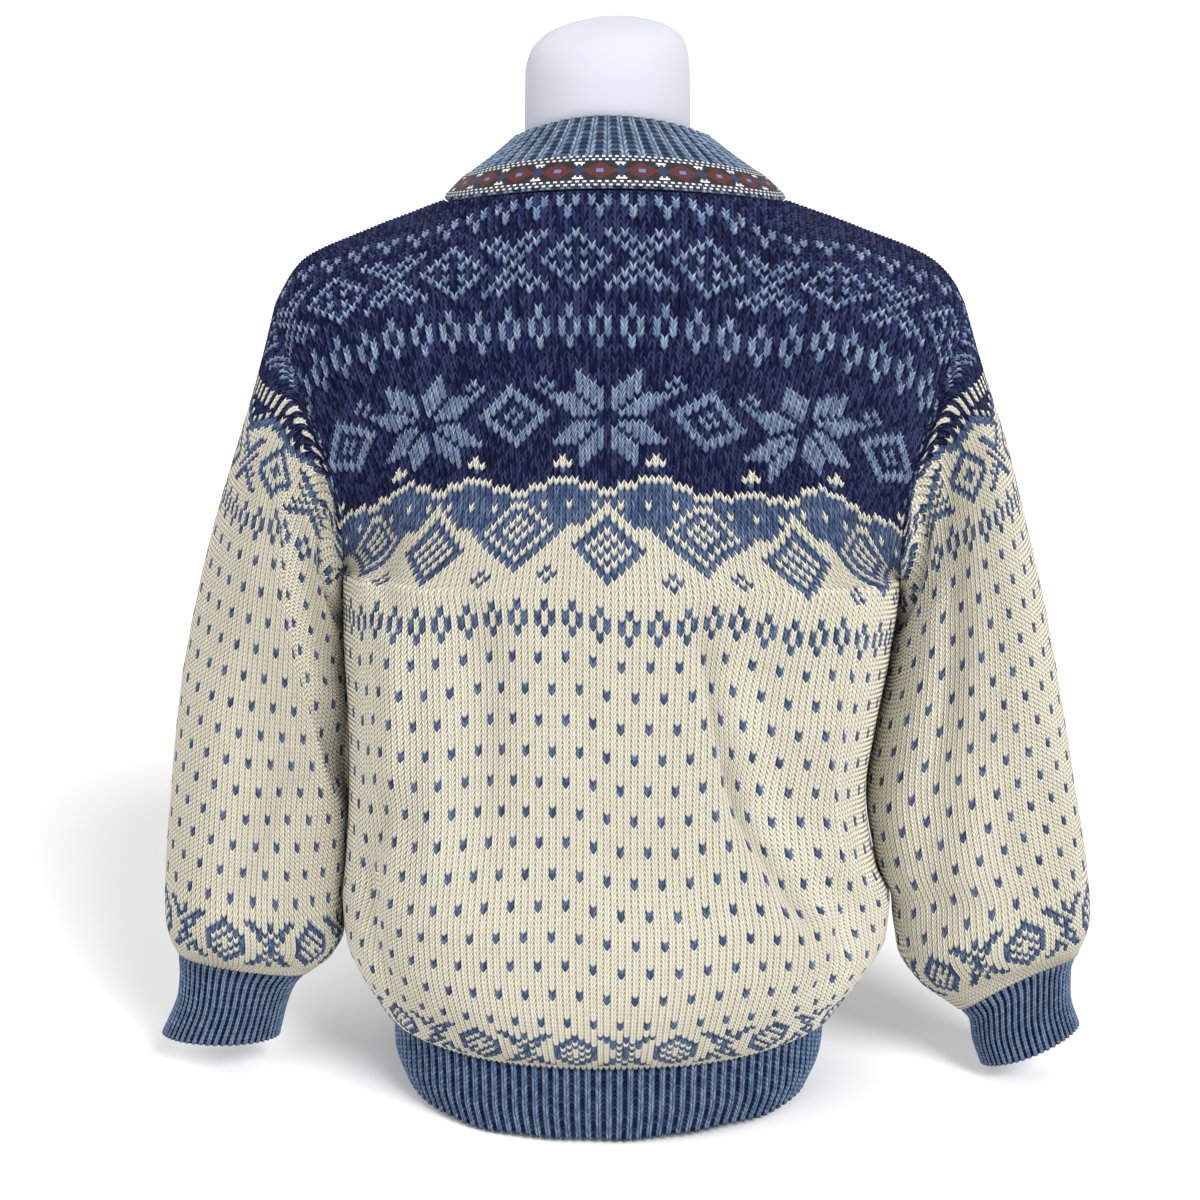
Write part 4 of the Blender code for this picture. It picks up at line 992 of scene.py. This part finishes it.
# Charts, as a knitter reads them: the top row first, one letter a stitch. x is the pattern yarn.
SMALL_CROSSES = """
...x...xx..x..xx
..xxx...xx.x.xx.
.xx.xx...xx.xx..
xx.x.xx..x.x.x..
x.x.x.x...xxx...
xx...xx....x....
x.x.x.x...xxx...
xx.x.xx..x.x.x..
.xx.xx...xx.xx..
..xxx...xx.x.xx.
...x...xx..x..xx
"""
LARGE_CROSSES = """
x...x...x.x...x.
...x.x...x.x.x.x
..x...x...x.x.x.
.x.x.x.x...x.x..
x.......x...x...
.x.x.x.x...x.x..
..x...x...x.x.x.
...x.x...x.x.x.x
x...x...x.x...x.
"""
BOLD_CROSSES = """
....x....xx.....xx
...xxx....xx...xx.
..xx.xx....xx.xx..
.xx...xx..x.xxx.x.
xx..x..xx..x.x.x..
x..xxx..x...x.x...
xx..x..xx..x.x.x..
.xx...xx..x.xxx.x.
..xx.xx....xx.xx..
...xxx....xx...xx.
....x....xx.....xx
"""
SMALL_DIAMONDS = """
.x..
.x..
x.x.
x.x.
x.x.
.x..
.x..
"""
NECK_EDGE = """
x.x.
x.x.
.x..
.x..
"""
LICE = """
....
....
....
....
..x.
..x.
....
....
....
....
x...
x...
"""


def lay_chart(yarns, chart, first, ground, pattern, centre, rows=None):
    """Knit a chart across every wale from one course up, repeated about the centre wale."""
    lines = [line for line in chart.split() if line][::-1]
    wide = len(lines[0])
    for i in range(rows or len(lines)):
        line = lines[i % len(lines)]
        for wale in range(yarns.shape[1]):
            letter = line[(wale - centre + wide // 2) % wide]
            if first + i < len(yarns):
                yarns[first + i, wale] = YARNS[pattern if letter == "x" else ground]


def in_rose(x, y, size=4):
    """Whether a stitch is in an eight-petalled rose round its own centre."""
    y, x = sorted((abs(x), abs(y)))
    return 1 <= y <= size and y + 1 <= x <= y + size


BAND_REPEAT = 28
BAND_ROWS = 37


def band_stitch(x, row):
    """One stitch of the broad band: roses on navy above, pennants and lozenges on cream below."""
    apart = abs((x + BAND_REPEAT // 2) % BAND_REPEAT - BAND_REPEAT // 2)
    edge = 17 - abs(apart % 14 - 7) // 3
    beside = 14 - apart
    if row > edge:
        bud = abs(apart - 7) + abs(row - edge - 3)
        if bud <= 1:
            return "c" if row >= edge + 3 else "m"
        lozenge = beside + abs(row - 29)
        seed = abs(apart - 9) + abs(row - 34)
        light = in_rose(apart, row - 28) or lozenge in (4, 5, 1) or seed == 1
        return "l" if light else "n"
    if row == edge:
        return "c"
    pennant = 10 - max(0, 8 - beside) if beside < 9 else 10 + max(0, 4 - apart)
    inside = beside + abs(row - 9)
    if row >= pennant:
        pale = inside in (2, 5) or inside == 0 or (row == 13 and apart % 4 == 2)
        return "c" if pale and row < edge - 1 and row > pennant else "m"
    lozenge = apart + abs(row - 6)
    seed = abs(apart - 9) + abs(row - 1)
    return "m" if lozenge in (5, 4, 2, 0) or seed == 1 else "c"


def broad_band(yarns, first, centre):
    for row in range(BAND_ROWS):
        for wale in range(yarns.shape[1]):
            yarns[first + row, wale] = YARNS[band_stitch(wale - centre, row)]


def heathered(yarns, seed, spread=KNIT_HEATHER):
    """Each stitch of a spun heather yarn is a little lighter or darker than the next, but cream hardly."""
    lots = np.random.default_rng(seed).normal(0, spread, yarns.shape[:2])
    lots *= np.where(yarns[..., 0] > 0.5, CREAM_HEATHER, 1.0)
    return np.clip(yarns * np.exp(lots)[..., None], 0, 1)


def charted(wales, courses, centre, navy_from, charts):
    """Cream with navy from one course up. Each chart has its first course, its ground and its pattern."""
    yarns = np.zeros((courses, wales, 3)) + CREAM
    yarns[navy_from:] = NAVY
    for chart, first, (ground, pattern), *rows in charts:
        lay_chart(yarns, chart, first, ground, pattern, centre, *rows)
    return yarns


BODY_NAVY, BROAD_BAND = 119, 101          # the courses at which they start
LOWER_CHARTS = ((SMALL_CROSSES, 1, "cm"), (LICE, 14, "cm", 74), (SMALL_DIAMONDS, 91, "cm"))
BODY_CHARTS = (*LOWER_CHARTS, (SMALL_DIAMONDS, 142, "nl"), (LARGE_CROSSES, 151, "nl"), (NECK_EDGE, 162, "nl"))


def body_chart(wales, centre, seed):
    yarns = charted(wales, BODY_COURSES, centre, BODY_NAVY, BODY_CHARTS)
    broad_band(yarns, BROAD_BAND, centre)
    return heathered(yarns, seed)


def strand_group():
    """How a knitted stitch is shaped inside its own cell of the stitch map, and where painted shade darkens
    its hollows.
    """
    tree = bpy.data.node_groups.new("strand", "ShaderNodeTree")
    add_sockets(tree, "INPUT", (("Stitch", "NodeSocketVector", None), ("Fibres", "NodeSocketFloat", 7.0),
                                ("Centre painted shade", "NodeSocketFloat", 0.35)))
    add_sockets(tree, "OUTPUT", [(name, "NodeSocketFloat", None)
                                 for name in ("Height", "Painted shade", "Fleck", "Fuzz")])
    given = tree.nodes.new("NodeGroupInput").outputs
    m = functools.partial(maths, tree)
    place = node(tree, "ShaderNodeSeparateXYZ", given["Stitch"]).outputs
    wale = m("FRACT", place[0])
    slope = m("ABSOLUTE", m("SUBTRACT", m("MULTIPLY", wale, 2.0), 1.0))
    strand_at = m("SUBTRACT", place[1], m("MULTIPLY", slope, 0.5))
    leg = m("ABSOLUTE", m("SINE", m("MULTIPLY", wale, 2 * math.pi)))
    length = m("ABSOLUTE", m("SINE", m("MULTIPLY", strand_at, math.pi)))
    height = m("MULTIPLY", m("POWER", m("MAXIMUM", leg, 0.0001), 0.5),
               m("POWER", m("MAXIMUM", length, 0.0001), 0.6))
    # Painted shade: the hole at each wale's edge between courses, the centre line of the V and the low ground
    # between the legs all darken the yarn's colour.
    edge_line = m("MULTIPLY", m("SUBTRACT", slope, 0.45), 3.0, clamp=True)
    between = m("SUBTRACT", 1.3, m("MULTIPLY", length, 1.5), clamp=True)
    hole_shade = m("MULTIPLY", edge_line, m("ADD", m("MULTIPLY", between, 0.8), 0.3), clamp=True)
    gap = m("SUBTRACT", 1.0, m("MULTIPLY", height, 1.3), clamp=True)
    centre_shade = m("MULTIPLY", m("SUBTRACT", 1.0, m("MULTIPLY", slope, 3.0), clamp=True), given["Centre painted shade"])
    painted_shade_mask = m("MAXIMUM", m("MAXIMUM", hole_shade, centre_shade), m("MULTIPLY", gap, 0.6), clamp=True)
    fibre_place = node(tree, "ShaderNodeCombineXYZ", m("MULTIPLY", place[0], 3.4),
                       m("MULTIPLY", strand_at, given["Fibres"]), 0.0)
    fibres = noise(tree, fibre_place, 1.0, 3.0, 0.7)
    whole_leg = node(tree, "ShaderNodeCombineXYZ", m("FLOOR", m("MULTIPLY", place[0], 2.0)),
                     m("FLOOR", strand_at), 0.0)
    of_leg = node(tree, "ShaderNodeTexWhiteNoise", named={"Vector": whole_leg}, noise_dimensions="2D")
    ply = m("ADD", m("MULTIPLY", fibres, 2.2), m("MULTIPLY", of_leg, 1.7))
    fleck = m("SUBTRACT", ply, 1.5, clamp=True)
    fuzz = noise(tree, given["Stitch"], 0.35, 3.0, 0.6)
    node(tree, "NodeGroupOutput", m("ADD", height, m("MULTIPLY", fibres, 0.35)), painted_shade_mask, fleck, fuzz)
    return tree


strand = strand_group()
# The tint and the gamma of the painted shade in a stitch's hollows, and the gamma of its paler fibres.
PAINTED_SHADE_TINT = (0.24, 0.225, 0.20)
PALE_FIBRE, PAINTED_SHADE_GAMMA = 0.55, 1.35


def wool_material(name, fleck_share, painted_shade_share, centre, bump):
    """Heathered wool: fibres along each leg, painted shade in the hollows between the legs, and a soft sheen.
    """
    made, tree = new_material(name)
    yarn = node(tree, "ShaderNodeAttribute", attribute_name="yarn").outputs["Color"]
    shape = node(tree, "ShaderNodeGroup", node_tree=strand)
    tree.links.new(node(tree, "ShaderNodeUVMap", uv_map="stitch").outputs[0], shape.inputs["Stitch"])
    shape.inputs["Centre painted shade"].default_value = centre
    pale_fibre = node(tree, "ShaderNodeGamma", yarn, PALE_FIBRE).outputs[0]
    painted_shade_yarn = node(tree, "ShaderNodeGamma", yarn, PAINTED_SHADE_GAMMA).outputs[0]
    lit = mixed(tree, maths(tree, "MULTIPLY", shape.outputs["Fleck"], fleck_share), yarn, pale_fibre)
    # The hollows are painted shade: a deepened, darker copy of the yarn, mixed in by the stitch's shade mask
    # and its centre-line share.
    painted_shade_colour = mixed(tree, 1.0, painted_shade_yarn, PAINTED_SHADE_TINT, "MULTIPLY")
    colour = mixed(tree, maths(tree, "MULTIPLY", shape.outputs["Painted shade"], painted_shade_share), lit, painted_shade_colour)
    rough = maths(tree, "MULTIPLY_ADD", shape.outputs["Fuzz"], 0.1, 0.88)
    finish_material(tree, {"Base Color": colour, "Roughness": rough, "Specular IOR Level": 0.06,
                           "Sheen Weight": 0.03, "Sheen Roughness": 0.5}, shape.outputs["Height"], bump)
    return made


stranded_wool = wool_material("stranded_wool", 0.75, 1.0, 0.35, 0.0014)
BODY_STITCHES = {"spread": 0.26, "tips": 0.7}      # how the wales spread, and how far the tips hang


def dress(piece, node_name):
    """Tie a finished cloth piece to the object."""
    tie(piece, node_name)


back = knitted("back_knit", panel_sheet(-1, -1.0, 1.0), body_chart(BACK_WALES, BACK_WALES // 2, 11),
               stranded_wool, **BODY_STITCHES)
dress(back, "back")


# Fronts: the same knitting as the back, in two panels that meet under the button bands, with the
# neck hollowed out at the top. Each is sewn to the back at its side and its shoulder.
BAND_HALF = 15.0
FRONT_WALES = 53

front_edge = (BAND_HALF + SEAM_GAP) / (PANEL_WIDTH / 2)
for side, first, last, centre, anchor, seed in (
        ("left", -1.0, -front_edge, 56, 1.0, 21), ("right", front_edge, 1.0, -4, 0.0, 22)):
    front = knitted("front_%s_knit" % side, panel_sheet(1, first, last, columns=91),
                    body_chart(FRONT_WALES, centre, seed), stranded_wool, anchor=anchor, **BODY_STITCHES)
    dress(front, "front_" + side)


# Sleeves: tubes in the same knitting, worked from the cuff up, with the cap shaped at the underarm.
# They are set into the armholes and hang a little bent, puffed out over the gathered cuffs.
SLEEVE_WALES, SLEEVE_COURSES = 96, 140
FOOT_COURSES = 4         # plain courses at the gathered lower edge
SLEEVE_COURSE_AT = (  # millimetres up the cloth, course
    (0, 0), (16, 5), (58, 16), (74, 19), (329, 91), (366, 102), (431, 121), (486, 137), (600, 169))
ARMPIT_GAP = 0.6         # how much further the sleeve is drawn back at the armpit
ARMPIT_FALL = 6          # and how soon that fades round the armhole
CUFF_PROBE = 0.15        # the share of the cuff that shows which way it runs on
# Under the arm the cloth droops: past a crease, its courses hang lower the nearer they are to the body.
DROOP_COLUMNS = ("course", "crease", "courses")
DROOP = {  # the crease as the cosine of the turn from the underarm, and how steeply the courses fall
    "left": ((0, 1.1, 0), (52, 1.05, 15), (87, 0.39, 15), (121, -0.27, 12), (140, -0.5, 8), (174, -0.6, 0)),
    "right": ((0, 1.1, 0), (64, 1.05, 13), (94, 0.55, 13), (121, 0.0, 11), (140, -0.3, 8), (174, -0.5, 0)),
}
SLEEVE_CREASES = {  # fine folds over those of the solid, in the same columns as SLEEVE_FOLDS
    "left": (
        (84, 85, 52, 215, 26, 8, -7),
        (52, 215, 12, 330, 22, 9, -6),
        (84, 12, 14, 118, 15, 13, -8),
        (60, 330, 95, 440, 18, 18, -4),
    ),
    "right": (
        (84, 12, 14, 118, 15, 13, -8),
        (70, 140, 62, 330, 10, 24, -5),
        (110, 250, 118, 420, 22, 10, -4),
    ),
}
CUFF_COLUMNS = ("cloth", "out_x", "out_z", "in_x", "in_z", "depth", "shift")
CUFFS = {
    "left": (
        (0, 312, 100, 218.5, 83, 30, -5),
        (14, 312, 85, 229, 72, 24, -5),
        (36, 314, 65, 236, 56, 22, -5),
        (68, 328, 30, 243, 29, 20, -5),
    ),
    "right": (
        (0, 342, 103, 258, 58, 28, -15),
        (14, 338, 90, 268, 47, 24, -15),
        (36, 339, 68, 271, 31, 22, -15),
        (60, 347, 43, 278, 11, 21, -15),
    ),
}

SLEEVE_NAVY = 112
SLEEVE_CHARTS = (*LOWER_CHARTS, (BOLD_CROSSES, 100, "cm"), (LARGE_CROSSES, 123, "nl"))


def tube_grid(side, columns, rows, cuff=False):
    """Points and facings of a sleeve or a cuff, from its own top down, and their turns and rows."""
    surface = tube_surface(side, cuff)
    turns, down = np.meshgrid(np.linspace(0, 1, columns), np.linspace(0, 1, rows))
    return sample(surface, turns, down), unit(sample(tube_normals(side, surface), turns, down)), turns, down


def closed(points, normal):
    """Bring the last column of a tube to the first."""
    points[:, -1], normal[:, -1] = points[:, 0], normal[:, 0]


def sleeve_sheet(side, columns=181, rows=161):
    points, normal, turn_grid, down = tube_grid(side, columns, rows)
    turns = turn_grid[0] * 2 * math.pi
    length = SLEEVES[side][-1][0]
    cloths = down * length
    creased = fold_height(SLEEVE_CREASES[side], turn_grid * 360, cloths, PER_DEGREE)
    creased *= smoothstep(cloths / CREASE_FOOT_FADE) * smoothstep((length - cloths) / CREASE_TOP_FADE)
    points = points + normal * creased[..., None]
    behind = turns <= math.pi + 1e-6
    wanted = np.zeros((columns, 3))
    wanted[behind] = armhole_normals(side, turns[behind], -1)
    wanted[~behind] = armhole_normals(side, 2 * math.pi - turns[~behind], 1)
    eased_edge(normal, "bottom", wanted)
    armpit = ARMPIT_GAP * np.maximum(np.cos(turns), 0) ** ARMPIT_FALL
    draw_back(points, SEAM_GAP + armpit, SEAM_GAP)
    points[0, :, 0] += armpit * SIGN[side]
    closed(points, normal)
    down_cuff = np.array([[0.0], [CUFF_PROBE]]) + 0 * turn_grid[:2]
    cuff = sample(tube_surface(side, True), turn_grid[:2], down_cuff)
    outward = unit(cuff[0] - cuff[0].mean(axis=0)) * TIP_LIFT
    points[-1] += unit(cuff[1] - cuff[0]) * TIP_DROP + outward
    points[-2] += outward * 0.5
    course = looked_up(SLEEVE_COURSE_AT, run_up(points[::-1]) - TIP_DROP)
    droop = read(DROOP[side], DROOP_COLUMNS, course)
    course = course + np.maximum(np.cos(turns)[None] - droop["crease"], 0) * droop["courses"]
    return points[::-1], normal[::-1], course[-1] / SLEEVE_COURSES, course / course[-1]


def sleeve_chart():
    """Dashes and crosses on cream, a zigzag at the edge of the navy, and lozenges above it."""
    centre = SLEEVE_WALES // 2
    yarns = charted(SLEEVE_WALES, SLEEVE_COURSES - FOOT_COURSES, centre, SLEEVE_NAVY, SLEEVE_CHARTS)
    for wale in range(SLEEVE_WALES):
        step = abs((wale - centre + 6) % 12 - 6) // 2
        for level in range(-step, 8 - step):
            dash = level == 2 and wale % 2 == 0
            yarns[SLEEVE_NAVY - 1 + step + level, wale] = (
                CREAM if level < 0 or dash else MID_BLUE if level < 2 else NAVY)
        if wale % 2 == 0:
            yarns[SLEEVE_NAVY + 5:SLEEVE_NAVY + 8, wale] = CREAM
    return np.concatenate([np.zeros((FOOT_COURSES, SLEEVE_WALES, 3)) + CREAM, yarns])


for side, seed in (("left", 31), ("right", 32)):
    sleeve = knitted("sleeve_%s_knit" % side, sleeve_sheet(side), heathered(sleeve_chart(), seed),
                     stranded_wool, tube=True, tips=0.7)
    dress(sleeve, "sleeve_" + side)


# Cuffs: one by one rib in a plain blue heather, gathered in from the sleeve and flaring at the hand.
# Each rib shows the two legs of its knit stitch, with a purl stitch sunk beside it, coloured darker as
# painted shade for its recess.
RIB_COLUMNS = 7
RIB_LOOK = {"gap_share": 3 / RIB_COLUMNS, "gap_depth": 0.0013, "relief": 0.0009, "lean": 0.5,
            "unevenness": 0.0006, "wall": 0.0032}
RIB_LIFT = 0.8           # how far the rib stands out from its solid
RIB_TUCK = 2.0           # and how far its top turns in, under the edge of the knit above
TUCK_LENGTH = 5.0
CUFF_EDGE_GAP = 0.7
CUFF_WALES = 48
CUFF_BLUE = srgb(104, 130, 166)

ribbed_wool = wool_material("ribbed_wool", 0.6, 0.9, 1.0, 0.0008)


def ribbed(name, sheet, courses, wales, colour, seed, wool=ribbed_wool, purl_painted_shade=RIB_PURL_PAINTED_SHADE, tube=False,
           **look):
    """A closed wall of rib in one heathered colour, with painted shade as the colour of its sunk purl
    columns.
    """
    yarns = heathered(np.zeros((courses, wales, 3)) + colour, seed, RIB_HEATHER)
    return knitted(name, sheet, yarns, wool, tube, RIB_COLUMNS, purl_painted_shade, **{**RIB_LOOK, **look})


def rib_lift(from_seam):
    return (RIB_LIFT - RIB_TUCK * (1 - smoothstep(from_seam / TUCK_LENGTH)))[..., None]


for side, seed in (("left", 41), ("right", 42)):
    points, normal, turns, down = tube_grid(side, 121, 41, cuff=True)
    draw_back(points, CUFF_EDGE_GAP)
    closed(points, normal)
    sheet = (points + normal * rib_lift(run_up(points)), normal, np.ones(len(turns[0])))
    cuff = ribbed("cuff_%s_rib" % side, sheet, 20, CUFF_WALES, CUFF_BLUE, seed, tube=True)
    dress(cuff, "cuff_" + side)


# Hem rib: the same rib as the cuffs, picked up along the lower edge of the panels and knitted down,
# from one front edge round the back to the other. It hugs the body less tightly than the cuffs.
FINE_EDGE_GAP = 1.5
HEM_RIBS = 115
HEM_WAVES = ((3, 1.2), (7, 0.9), (16, 0.6))      # waves round the lower edge, and how high each is
HEM_COLUMNS = ("height", "left", "right", "back", "front")
HEM = (
    (5, 148, 149, 113.5, 112),
    (30, 155, 158, 117, 116),
    (56, 155.5, 159.5, 117.5, 117),
    (64, 158, 162, 118, 118),
)


def ring(height, angles):
    """Points of the rib's oval: the angle is 0 at the centre front and pi at the centre back."""
    level = read(HEM, HEM_COLUMNS, height)
    s, c = np.sin(angles), np.cos(angles)
    half = np.where(s > 0, level["left"], level["right"])
    depth = np.where(c > 0, level["front"], level["back"])
    power = 2 / ROUNDNESS
    return np.stack([-half * np.sign(s) * np.abs(s) ** power, depth * np.sign(c) * np.abs(c) ** power,
                     np.full(len(angles), height)], axis=1)


def strip_normals(points, facing):
    """Facings of a strip whose middle faces front (1) or back (-1)."""
    normal = normals_of(points)
    return normal * facing * np.sign(normal[len(points) // 2, points.shape[1] // 2, 1])


# How much narrower the front bands are than on the flat cloth, at the rib's seam.
BAND_SCALE = body_surface(1)[0, DENSE // 2 + 10, 0] / (10 / (DENSE // 2) * PANEL_WIDTH / 2)

angles = np.linspace(0, 2 * math.pi, 3001)
run = run_up(ring(HEM[-1][0], angles))
slit = BAND_HALF * BAND_SCALE + FINE_EDGE_GAP
places = np.linspace(slit, run[-1] - slit, 301)
points = np.array([along(places, run, ring(height, angles))
                   for height in np.linspace(HEM[0][0], HEM[-1][0], 25)])
normal = strip_normals(points, -1)
wave = sum(height * np.sin(count * places / run[-1] * 2 * math.pi + count) for count, height in HEM_WAVES)
points[..., 2] += wave * smoothstep(np.linspace(1, 0, len(points)))[:, None]
draw_back(points, 0.0, FINE_EDGE_GAP)
up = run_up(points)
# The hem's blue is darker than the cuffs': painted shade where the rib faces down.
hem = ribbed("hem_rib_knit", (points + normal * rib_lift(up[-1] - up), normal, np.ones(len(places))),
             16, HEM_RIBS, RIB_BLUE_WITH_PAINTED_SHADE, 51)
dress(hem, "hem_rib")


# Collar: a stand-up band of the same rib in a greyer blue heather, picked up round the neck. It leans in
# towards the form's neck and its ends meet at the centre front.
COLLAR_RIBS = 52
COLLAR_SLIT = 1.5
COLLAR_LIFT = 0.6
COLLAR_BLUE = srgb(112, 134, 162)
# The collar's purl columns are coloured with painted shade, darker than its yarn.
COLLAR_PURL_PAINTED_SHADE = srgb(62, 78, 108)
collar_wool = wool_material("collar_wool", 0.6, 0.9, 1.0, 0.0010)


def collar_sheet(first, last, lift, columns=221, rows=25):
    """The collar between two shares of its height, with its places even along the middle of it."""
    fine = np.linspace(0, 2 * math.pi, 2001)
    run = run_up(collar_surface([0.5], fine)[0])
    angles = np.interp(np.linspace(COLLAR_SLIT, run[-1] - COLLAR_SLIT, columns), run, fine)
    points = collar_surface(np.linspace(first, last, rows), angles)
    normal = strip_normals(points, -1)
    return points + normal * lift, normal, np.ones(columns)


sheet = collar_sheet(0.0, 1.0, COLLAR_LIFT)
draw_back(sheet[0], FINE_EDGE_GAP)
collar = ribbed("collar_rib", sheet, 16, COLLAR_RIBS, COLLAR_BLUE, 61, collar_wool, COLLAR_PURL_PAINTED_SHADE,
                gap_depth=0.0007, unevenness=0.0005, wall=0.0030)
dress(collar, "collar")


# Neck ribbon: a jacquard ribbon sewn over the seam between the collar and the body. Its lozenges, bars
# and dashes are a plain repeat of the maker's, woven in red, navy, black, light blue and cream.
RIBBON_LIFT = 0.7
RIBBON_WALL = 0.9
RIBBON_START = 0.05
RIBBON_SHARE = 0.40
RIBBON_REPEATS = 24
RIBBON_CHART = """
nccnnccnnccnnccnnccnnccn
nnnnnnnnnnnnnnnnnnnnnnnn
cnnccnnccnnccnnccnnccnnc
nkkkkkkkkkkkkkkkkkkkkkkn
ccckkkkkkkkrrkkkkkkkkccc
nckkkkkkkrrrrrrkkkkkkkcn
nkkkkkkrrrrrrrrrrkkkkkkn
nnkkkrrrrrrrrrrrrrrkkknn
nnnrrrrrrrbbbbrrrrrrrnnn
nnnrrrrrrrbbbbrrrrrrrnnn
nnkkkrrrrrrrrrrrrrrkkknn
nkkkkkkrrrrrrrrrrkkkkkkn
nckkkkkkkrrrrrrkkkkkkkcn
ccckkkkkkkkrrkkkkkkkkccc
nkkkkkkkkkkkkkkkkkkkkkkn
cnnccnnccnnccnnccnnccnnc
nnnnnnnnnnnnnnnnnnnnnnnn
nccnnccnnccnnccnnccnnccn
"""
RIBBON_YARNS = {"n": srgb(30, 34, 78), "c": srgb(226, 222, 208), "k": srgb(10, 10, 14),
                "r": srgb(74, 18, 15), "b": srgb(86, 112, 168)}


# Close satin weave: fine threads across the ribbon, with a slight silky gloss.
satin, tree = new_material("woven_ribbon")
m = functools.partial(maths, tree)
yarn = node(tree, "ShaderNodeAttribute", attribute_name="yarn").outputs["Color"]
cell = node(tree, "ShaderNodeSeparateXYZ", node(tree, "ShaderNodeUVMap", uv_map="stitch")).outputs
weft = m("ABSOLUTE", m("SINE", m("MULTIPLY", cell[1], 2 * math.pi)))
warp = m("ABSOLUTE", m("SINE", m("MULTIPLY", cell[0], math.pi)))
threads = noise(tree, node(tree, "ShaderNodeCombineXYZ", m("MULTIPLY", cell[0], 0.6),
                           m("MULTIPLY", cell[1], 5.0), 0.0), 1.0, 3.0, 0.6)
light = node(tree, "ShaderNodeGamma", yarn, 0.8).outputs[0]
finish_material(tree, {
    "Base Color": mixed(tree, m("MULTIPLY", threads, 0.35), yarn, light),
    "Roughness": m("MULTIPLY_ADD", threads, 0.25, 0.55), "Sheen Weight": 0.1, "Sheen Roughness": 0.4},
    m("MULTIPLY_ADD", weft, m("ADD", warp, 0.4), threads), 0.0003, 0.5)

ribbon_yarns = np.array([[RIBBON_YARNS[letter] for letter in line * RIBBON_REPEATS]
                         for line in RIBBON_CHART.split()[::-1]])
ribbon = knitted("ribbon_weave", collar_sheet(RIBBON_START, RIBBON_SHARE, RIBBON_LIFT + RIBBON_WALL, rows=13),
                 heathered(ribbon_yarns, 71, RIBBON_HEATHER), satin, columns=1, lean=0.0, relief=0.0,
                 unevenness=0.0002, wall=RIBBON_WALL * MM)
dress(ribbon, "neck_ribbon")


# Front bands: two doubled strips of the rib down the centre front, from the neck to the hem. The right
# one laps over the left and carries the buttons; the left one has the buttonholes under it.
BAND_LIFT = 2.85         # the right one's, over the left one's wall
BAND_RIBS = 5
BAND_COURSES = 172
BAND_FOOT_TOP = 58.0     # up to this height the bands lie on the hem rib
BANDS = (  # side, left and right edge from the centre front, lift, gap at the neck, seed of its heather
    ("left", -BAND_HALF, BAND_HALF - 1, 0.0, FINE_EDGE_GAP, 81),
    ("right", -BAND_HALF, BAND_HALF + 3, BAND_LIFT, 2 * FINE_EDGE_GAP, 82),
)


def front_line(offsets, rows=121):
    """Outer points down the centre front at these distances from it, from the hem to the neck."""
    lower = [[(x * BAND_SCALE, read(HEM, HEM_COLUMNS, height)["front"], height) for x in offsets]
             for height in np.linspace(HEM[0][0], BAND_FOOT_TOP, 9)]
    shares = offsets / (PANEL_WIDTH / 2)
    cloths = np.linspace(0, 1, rows)[:, None] * top_of(shares, 1)[None]
    where = (np.broadcast_to((shares + 1) / 2, cloths.shape), cloths / PANEL_LENGTH)
    return np.concatenate([np.array(lower, float), sample(body_surface(1), *where)])


for side, first, last, lift, edge_gap, seed in BANDS:
    points = front_line(np.linspace(first, last, 13))
    normal = strip_normals(points, 1)
    points = points + normal * lift
    draw_back(points, 0.0, edge_gap)
    band = ribbed("band_%s_rib" % side, (points, normal, np.ones(13)), BAND_COURSES, BAND_RIBS, RIB_BLUE_WITH_PAINTED_SHADE,
                  seed, gap_depth=0.0008, relief=0.0005, unevenness=0.0003, wall=0.0024)
    dress(band, "band_" + side)


# Buttons: seven plain round metal buttons, cast with a raised rim and a shallow dome, each sewn to the
# right band through a shank of navy thread.
BUTTON_SIDES = 64
BUTTON_RADIUS = 0.009
BUTTON_FOOT = 0.05
BUTTON_LINE = ((1.0, BUTTON_FOOT), (1.0, 0.45), (0.96, 0.62), (0.88, 0.66), (0.80, 0.58), (0.74, 0.50),
               (0.66, 0.56), (0.52, 0.74), (0.34, 0.88), (0.16, 0.96))

cast_metal, tree = new_material("button_metal")
cast = noise(tree, object_place(tree), 900.0, 4.0, 0.6)
wear = noise(tree, object_place(tree), 220.0, 3.0, 0.55)
finish_material(tree, {
    "Base Color": mixed(tree, wear, srgb(120, 118, 112), srgb(196, 194, 186)),
    "Roughness": maths(tree, "MULTIPLY_ADD", cast, 0.3, 0.25), "Metallic": 0.9}, cast, 0.0002, 0.3)

angles = np.linspace(0, 2 * math.pi, BUTTON_SIDES, endpoint=False)[:, None]
for number in range(1, 8):
    solid = np.array([corner.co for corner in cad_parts["button_%d" % number].data.vertices])
    middle = solid.mean(axis=0)
    axis = np.linalg.svd(solid - middle)[2][2]
    axis = axis * np.sign(axis[1])
    side = unit(np.cross(axis, [0, 0, 1.0]))
    spokes = (side * np.cos(angles) - np.cross(side, axis) * np.sin(angles)) * BUTTON_RADIUS
    levels = (solid - middle) @ axis
    foot = middle + axis * levels.min()
    tall = axis * (levels.max() - levels.min())
    rings = np.array([foot + tall * height + spokes * share for share, height in BUTTON_LINE])
    button = closed_rings("button_%d_cast" % number, rings, foot + tall * BUTTON_FOOT, foot + tall,
                          cast_metal)
    tie(button, "button_%d" % number)
